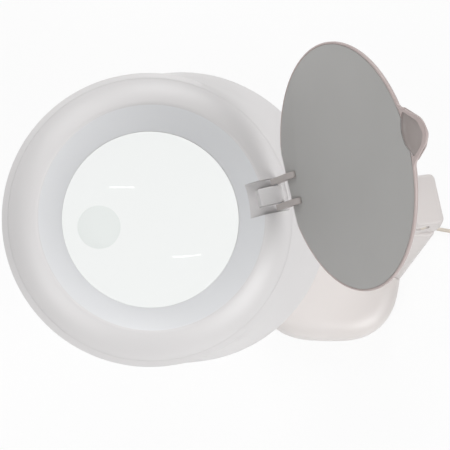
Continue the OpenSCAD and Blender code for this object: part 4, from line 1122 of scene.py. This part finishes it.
# %% Ribbed sleeve and inner lead
WAY_R = 1.68   # radius of the way for the lead in both sleeves
ribs = []
for k in range(6):
    z = 67.4 + 2.5 * k
    r = 3.7 - 0.22 * k
    ribs += [(r, z), (r, z + 1.5), (r - 0.75, z + 1.8), (r - 0.75, z + 2.3)]
profile = [(WAY_R, 61.2), (4, 61.2), (4, 65.4), (5.2, 65.4), (5.2, 66.9)] + ribs \
    + [(2.3, 82.8), (WAY_R, 82.8)]
relief = lathe("lead_relief", soften(profile, 0.15, 1), LEAD_OUT, steps=40, loop=True,
               angle=50)
place_piece(relief, vinyl, "base", ["cord_grip"])

inner_route = [(0, 1, -8), (0, 0.6, -3), (0.3, -0.6, 0), (1.2, -3, 2.2), (3, -8, 2.8),
               (5.6, -13.5, 2.4), (7.2, -17, 1.9), (6.8, -19.4, 1.6), (4.8, -20.4, 1.5),
               (2.8, -19.2, 1.6), (1.9, -16.4, 2), (2.4, -13.6, 2.4)]
SWIVEL_MM = WORLD.inverted() @ SWIVEL
inner_points = [tuple(SWIVEL_MM @ Vector((x, y, z + LID_Z)))
                for x, y, z in smooth_route(inner_route)]
inner = tube("inner_lead", inner_points, 2.6)
inner.data.materials.append(vinyl)
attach(inner, "swivel")
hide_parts("cap_lead")

# %% Adapter
def box_outline(size_x, size_y, corner):
    """An outline about the adapter's middle."""
    return rounded_rectangle(size_x, size_y, corner, ADAPTER_X, ADAPTER_Y, steps=7)


adapter = slab("adapter_case", box_outline(40, 60, 5), WORLD, 0.05, 26, edge=2.6,
               low_edge=1.2, steps=5)
parting = slab("parting", box_outline(42, 62, 5.5), WORLD, 12.8, 13.2, edge=0.05)
core = slab("core", box_outline(39.2, 59.2, 4.6), WORLD, 12, 14, edge=0.05)
combine(parting, [core])
ribs = []
for k in range(3):
    z = 0.4 + 1.9 * k
    r = 4.4 - 0.55 * k
    ribs += [(r, z), (r, z + 1.1), (r - 0.7, z + 1.3), (r - 0.7, z + 1.7)]
at = WORLD @ shift(*BOOT) @ turn("X", -90)   # local +Z points to +Y
boot = lathe("boot", [(WAY_R, -3), (4.4, -3)] + ribs + [(2.4, 5.9), (WAY_R, 5.9)], at,
             steps=40, loop=True, angle=50)
combine(adapter, [parting], angle=40)
clamp = lathe("clamp", [(WAY_R, -30), (WAY_R, 8)], at, steps=32)
combine(adapter, [boot], "UNION", angle=40)
combine(adapter, [clamp], angle=40)
place_piece(adapter, black_abs, "base", ["adapter_body"])

# %% [markdown]
# ## Cover
#
# The cover shades the lens when the lamp is not used, so that the sun can't start
# a fire through it. It is a thin disc with a raised rim. At the edge away from
# the hinge the rim swings out round a finger tab, with a scoop on the inner side
# and a dome behind it. The outline is made of arcs and straight flanks that run
# into one another without a corner. Every ring of the form follows it, so the rim
# flows into the tab.

# %% Outline of the cover with its tab
DISC, DISC_R = Vector((-0.8, 1.5)), 78.6
TAB, TAB_R = Vector((-88.6, 5.2)), 9.3
FILLET = 6.5
FLAT_X = 73.8   # the straight edge at the hinge
LINER_R = 77.3


def flank(angle):
    """The flank that runs at that angle from the tab towards the disc.

    Returns where it leaves the tab, where its fillet starts, the fillet's middle,
    and where the fillet meets the disc."""
    side = 1 if angle > 0 else -1
    along = Vector((math.cos(math.radians(angle)), math.sin(math.radians(angle))))
    out = Vector((-along.y, along.x)) * side
    leave = TAB + out * TAB_R
    start = leave + out * FILLET - DISC
    # The fillet touches the disc where its middle is both radii away
    b = start.dot(along)
    run = -b - math.sqrt(b ** 2 - start.length ** 2 + (DISC_R + FILLET) ** 2)
    middle = start + along * run + DISC
    meet = DISC + (middle - DISC).normalized() * DISC_R
    return leave, leave + along * run, middle, meet


def angle_of(vector):
    """The vector's angle, from 0 to 360 degrees."""
    return math.degrees(math.atan2(vector.y, vector.x)) % 360


def arc_between(middle, first, last, radius, steps, clockwise=False):
    """Points on an arc about the middle, from one place to another."""
    low, high = angle_of(first - middle), angle_of(last - middle)
    if clockwise and high > low:
        high -= 360
    if not clockwise and high < low:
        high += 360
    return arc(middle.x, middle.y, radius, low, high, steps)


def line_between(first, last, steps):
    """Points on a line, without the last one."""
    return [tuple(first.lerp(last, k / steps)) for k in range(steps)]


top_tab, top_bend, top_middle, top_disc = flank(32.5)
low_tab, low_bend, low_middle, low_disc = flank(-30.0)
half_flat = math.sqrt(DISC_R ** 2 - (FLAT_X - DISC.x) ** 2)
flat_low, flat_high = (Vector((FLAT_X, DISC.y + y)) for y in (-half_flat, half_flat))
outline = arc_between(DISC, flat_high, top_disc, DISC_R, 100)[:-1]
tab_start = len(outline)
outline += arc_between(top_middle, top_disc, top_bend, FILLET, 6, True)[:-1]
outline += line_between(top_bend, top_tab, 12)
outline += arc_between(TAB, top_tab, low_tab, TAB_R, 30)[:-1]
outline += line_between(low_tab, low_bend, 6)
outline += arc_between(low_middle, low_bend, low_disc, FILLET, 6, True)[:-1]
tab_end = len(outline)
outline += arc_between(DISC, low_disc, flat_low, DISC_R, 100)[:-1]
outline += line_between(flat_low, flat_high, 14)
print(len(outline), "points round the cover; the tab is", tab_start, "to", tab_end)

# %% [markdown]
# The inner edge of the rim follows the liner's circle. Behind the tab its points
# are spread evenly, so that the rings between the two edges fan out. The plate
# gets thinner towards the tab's edge, as the dome behind it is round.

# %% Rings of the cover
def inner_edge(radius, chord_x):
    """A point on the liner's edge for each point of the outline."""
    start = angle_of(Vector(outline[tab_start]) - DISC)
    end = angle_of(Vector(outline[tab_end]) - DISC)
    points = []
    for i, (x, y) in enumerate(outline):
        a = angle_of(Vector((x, y)) - DISC)
        if tab_start < i < tab_end:
            a = start + (end - start) * (i - tab_start) / (tab_end - tab_start)
        points.append((min(DISC.x + radius * math.cos(math.radians(a)), chord_x),
                       DISC.y + radius * math.sin(math.radians(a))))
    return points


def on_tab(i):
    """1 in the middle of the tab's outline, falling to 0 where it meets the disc."""
    t = min(max((i - tab_start) / (tab_end - tab_start), 0), 1)
    return math.sin(math.pi * t) ** 0.6


def lowered(points, height, fall=0.0):
    """A ring at that height, lower by so much at the tab."""
    return [(x, y, height - fall * on_tab(i)) for i, (x, y) in enumerate(points)]


def between(edge, share):
    """Points between an inner edge and the outline, share 0 to 1."""
    return [(a[0] + (b[0] - a[0]) * share, a[1] + (b[1] - a[1]) * share)
            for a, b in zip(edge, outline)]


def scaled(edge, middle, share):
    """A copy of an edge, larger or smaller about its middle."""
    return [(middle.x + (x - middle.x) * share, middle.y + (y - middle.y) * share)
            for x, y in edge]


lip = inner_edge(LINER_R, 72.6)
back_edge = inner_edge(74.0, 69.0)
rings = [lowered(scaled(lip, DISC, s), 0.95) for s in (0.25, 0.6, 0.9, 0.995)]
rings += [lowered(lip, 0.7), lowered(between(lip, 0.12), 0.42)]
rings += [lowered(between(lip, s), 0.4) for s in (0.3, 0.5)]
rings += [lowered(inset(outline, d), z, fall) for d, z, fall in (
    (0.45, 0.42, 0), (0.15, 0.6, 0.05), (0, 1.0, 0.25), (0, 1.9, 0.85), (0.25, 2.5, 1.0))]
rings += [lowered(between(back_edge, s), z, fall) for s, z, fall in (
    (0.9, 2.95, 1.1), (0.76, 3.15, 0.9), (0.55, 3.2, 0.6), (0.33, 3.2, 0.3), (0, 3.2, 0))]
rings += [lowered(scaled(back_edge, DISC, s), 3.2) for s in (0.97, 0.9, 0.6, 0.25)]
cover = skin("cover_disc", rings, COVER, low="point", high="point", angle=45)

# %% [markdown]
# The scoop for the fingertip is a bowl with the tab's own form: round at the
# tab's end, straight along its flanks, and open to the disc, where it cuts a bite
# out of the liner. Each ring of the bowl is a smaller copy of its edge. The dome
# behind it is a larger copy, so the wall between them stays even.

# %% Dome and scoop
HOLLOW = Vector((-82.6, 6.0))
hollow_edge = soften([(-73.3, 8.6), (-75.1, 14.3), (-79.3, 20.4), (-92.0, 11.6),
                      (-94.9, 3.2), (-90.5, -2.7), (-80.6, -8.0), (-74.0, 1.2)], 2.2, 4)


def bowl(name, share, edge_z, depth, steps=9):
    """A bowl over the scoop's edge, upside down, with a stub below it."""
    levels = [(share, edge_z - 2.4)]
    for k in range(steps):
        t = math.radians(90 * k / steps)
        levels.append((share * math.cos(t) ** 0.8, edge_z + depth * math.sin(t)))
    rings = [raised(scaled(hollow_edge, HOLLOW, size), z) for size, z in levels]
    return skin(name, rings, COVER, low="point", high="point", angle=60)


def scoop():
    """The scoop's cutter, for the cover and for the liner."""
    return bowl("scoop", 1.0, 0.5, 3.9)


combine(cover, [bowl("dome", 1.16, 2.0, 4.1)], "UNION", angle=45)
combine(cover, [scoop()], angle=45)

# %% [markdown]
# Two arms carry the disc on its pin. Each is a flat plate with a round eye, and
# reaches into the gap between the block in the pocket and the pocket's wall.

# %% Hinge arms
arm_side = [(60, 0.9), (60, -1.1), (65, -4.0)] \
    + arc(HINGE_X, -HINGE_DROP, 3.2, -90, 90, 14) + [(75.2, 2.4), (72.2, 0.92)]
plates = [slab("hinge_arm", soften(arm_side, 0.5, 2), COVER @ SIDE, low, high, edge=0.45)
          for low, high in ((6.9, 11.1), (-11.1, -6.9))]
combine(cover, plates, "UNION", angle=45)
eye = slab("eye", disc(1.27, 32, HINGE_X, -HINGE_DROP), COVER @ SIDE, -15, 15, edge=0.05)
combine(cover, [eye], angle=45)

place_piece(cover, cover_abs, "cover", ["cover_shell"])
# The arms, then the rim's face and side, then the bowl of the scoop: each gets a
# darker copy of the cover's white, as painted shade where shade falls on them
paint(cover, arm_shade_abs, COVER, lambda p, n: p.x > 59.9 and 6.8 < abs(p.y) < 11.2
      and (p.x > 73.7 or p.z < 0.92))
paint(cover, rim_shade_abs, COVER, lambda p, n: p.z < 2.7 and n.z < 0.6 and p.x < 72
      and (p.xy - DISC).length > LINER_R - 0.2)
paint(cover, scoop_shade_abs, COVER, lambda p, n: 0.5 < p.z < 4.6 and n.z < -0.05
      and -95.2 < p.x < -73.0 and -7.8 < p.y < 20.2
      and (p.z > 1.05 or (p.xy - HOLLOW.xy).length < 8))

# %% [markdown]
# The liner is a sheet of grained grey plastic, pressed into the rim. It has two
# notches where the arms pass. The block in the pocket carries the pin between the
# arms, and its end is rounded about the pin so that it never binds.

# %% Liner and hinge block
SHEET_X = 72.4   # the sheet's straight edge at the hinge
sheet_outline = [p for p in arc_between(DISC, flat_high, flat_low, 77.1, 220)
                 if p[0] < SHEET_X]
low_end, high_end = sheet_outline[-1][1], sheet_outline[0][1]
sheet_outline.append((SHEET_X, low_end + 0.4))
for a, b in ((-11.25, -6.75), (6.75, 11.25)):
    sheet_outline += [(SHEET_X, a), (59.8, a), (59.8, b), (SHEET_X, b)]
sheet_outline.append((SHEET_X, high_end - 0.4))
liner = slab("cover_lining", sheet_outline, COVER, 0.4, 0.9, edge=0.2, low_edge=0.2,
             steps=2)
combine(liner, [scoop()])
place_piece(liner, liner_sheet, "cover", ["cover_liner"])

block_side = [(74.5, -9.58), (91.8, -9.58)] \
    + arc(HINGE_X, -HINGE_DROP, 3.6, 0, 90, 10) + [(74.5, 2.8)]
block = slab("hinge_tongue", soften(block_side, 0.7, 3), HINGE @ SIDE, -6, 6, edge=0.5)
pin_way = slab("pin_way", disc(1.3, 32, HINGE_X, -HINGE_DROP), HINGE @ SIDE, -10, 10,
               edge=0.05)
screws = [slab("screw_way", disc(1.5, 24, x), HINGE, -12, -4.1, edge=0.05)
          for x in (79.2, 87.2)]
combine(block, [pin_way] + screws, angle=40)
place_piece(block, head_abs, "head", ["hinge_block"])

# %% [markdown]
# ## Finishes for the CAD parts that stay
#
# A part whose CAD shape is already right keeps its mesh and only gets its
# finish: the material takes the place of the plain colour that came with it. The
# whites of base, column, head and cover are one plastic, painted lighter or
# darker as painted light and shade.

# %% Finishes of the CAD parts
finishes = {
    "pad": rubber, "black_plastic": black_abs, "iron": iron, "base_white": base_abs,
    "column_white": column_abs, "head_white": head_abs, "cover_white": cover_abs,
    "liner_grey": liner_sheet, "button_grey": button_abs, "steel": zinc, "bush": acetal,
    "cord_grip": vinyl, "lead": vinyl, "tie": black_abs, "adapter": black_abs,
    "lens": acrylic, "gasket": rubber, "board": solder_mask, "led": phosphor,
    "diffuser": opal_sheet}
node_slots = {s["node"]: s["material_slot"] for s in frame["record"]["subparts"]}
for node, obj in frame["nodes"].items():
    obj.data.materials.clear()
    obj.data.materials.append(finishes[node_slots[node]])
print(len(frame["nodes"]), "CAD parts finished")

# %% [markdown]
# ## The lead joins its parts
#
# The lead stands for the three cord parts of the CAD model, which are hidden, and
# it goes with the base, as the adapter does.

lead.data.materials.append(vinyl)
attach(lead, "base")
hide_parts("cord_lead", "cord_coil", "cord_tail")

# %% [markdown]
# ## Floor, backdrop and light
#
# The lamp stands on a seamless white sweep, as for a catalogue. The floor takes
# the soft shadow, and a part of its white comes from the material itself, only
# for what the camera, a lens or a metal sees, so that no extra light reaches the
# lamp. Four wide lamps stand round the table. The strongest is at the front right
# and the next one behind, so edges and hollows read clearly, and a weak even light
# from all sides keeps the deep places from going black. The lamps are kept off
# the two lenses, where they would show as bright discs. A narrow strip light that
# reaches only the lenses gives them two short dashes of shine.

# %% Floor and backdrop
bpy.ops.object.select_all(action="DESELECT")
bpy.ops.mesh.primitive_plane_add(size=6, location=(0, 0, 0))
floor = bpy.context.active_object
floor.name = "studio_floor"
paper, output = new_material("white_sweep_paper")
ray = add_node(paper, "ShaderNodeLightPath")
seen = add_node(paper, "ShaderNodeMath", {"operation": "MAXIMUM"},
                i0=ray.outputs["Is Camera Ray"], i1=ray.outputs["Is Glossy Ray"])
seen = add_node(paper, "ShaderNodeMath", {"operation": "MAXIMUM"},
                i0=seen.outputs[0], i1=ray.outputs["Is Transmission Ray"])
part = add_node(paper, "ShaderNodeMath", {"operation": "MULTIPLY"},
                i0=seen.outputs[0], i1=0.88)
plain = add_node(paper, "ShaderNodeBsdfDiffuse", Color=linear("#EDEDED"))
white = add_node(paper, "ShaderNodeEmission", Color=(1, 1, 1, 1), Strength=1.0)
mix = add_node(paper, "ShaderNodeMixShader", i0=part.outputs[0],
               i1=plain.outputs[0], i2=white.outputs[0])
finish_material(paper, output, mix)
floor.data.materials.append(paper)

# %% World and lamps
scene.view_settings.view_transform = "Standard"
world = bpy.data.worlds.new("studio")
scene.world = world
world.use_nodes = True
world.node_tree.nodes.clear()
ray = add_node(world, "ShaderNodeLightPath")
lit = add_node(world, "ShaderNodeBackground", Color=(1, 1, 1, 1), Strength=0.2)
seen = add_node(world, "ShaderNodeBackground", Color=(1, 1, 1, 1), Strength=1.0)
mix = add_node(world, "ShaderNodeMixShader", i0=ray.outputs["Is Camera Ray"],
               i1=lit.outputs[0], i2=seen.outputs[0])
add_node(world, "ShaderNodeOutputWorld", Surface=mix.outputs[0])


def area_lamp(name, place, target, shape, size, watts):
    """A soft lamp of that shape and size, aimed at the target."""
    data = bpy.data.lights.new(name, "AREA")
    data.shape = shape
    data.size, data.size_y = size
    data.energy = watts
    lamp = bpy.data.objects.new(name, data)
    scene.collection.objects.link(lamp)
    aim = Vector(target) - Vector(place)
    lamp.matrix_world = Matrix.Translation(place) \
        @ aim.to_track_quat("-Z", "Y").to_matrix().to_4x4()
    return lamp


lenses = bpy.data.collections.new("lenses")
all_but_lenses = bpy.data.collections.new("all_but_lenses")
for receivers in (lenses, all_but_lenses):
    for lens in (big_lens, small_lens):
        receivers.objects.link(lens)
for entry in all_but_lenses.collection_objects:
    entry.light_linking.link_state = "EXCLUDE"

for name, place, watts in (("front_right_light", (0.9, -0.8, 1.1), 13.9),
                           ("back_light", (0.1, 1.4, 0.9), 10.2),
                           ("front_left_light", (-0.9, -0.9, 1.2), 8.8),
                           ("back_left_light", (-0.9, 0.9, 1.1), 6.0)):
    lamp = area_lamp(name, place, (0, 0, 0.1), "DISK", (1, 1), watts)
    lamp.light_linking.receiver_collection = all_but_lenses
strip = area_lamp("strip_light", (-0.211, 0.001, 0.546), (-0.211, 0.001, 0), "RECTANGLE",
                  (0.06, 0.004), 0.004)
strip.light_linking.receiver_collection = lenses

# %% [markdown]
# ## Sizes
#
# The finished model keeps to the CAD model's box.

# %% Finish
bpy.context.view_layer.update()
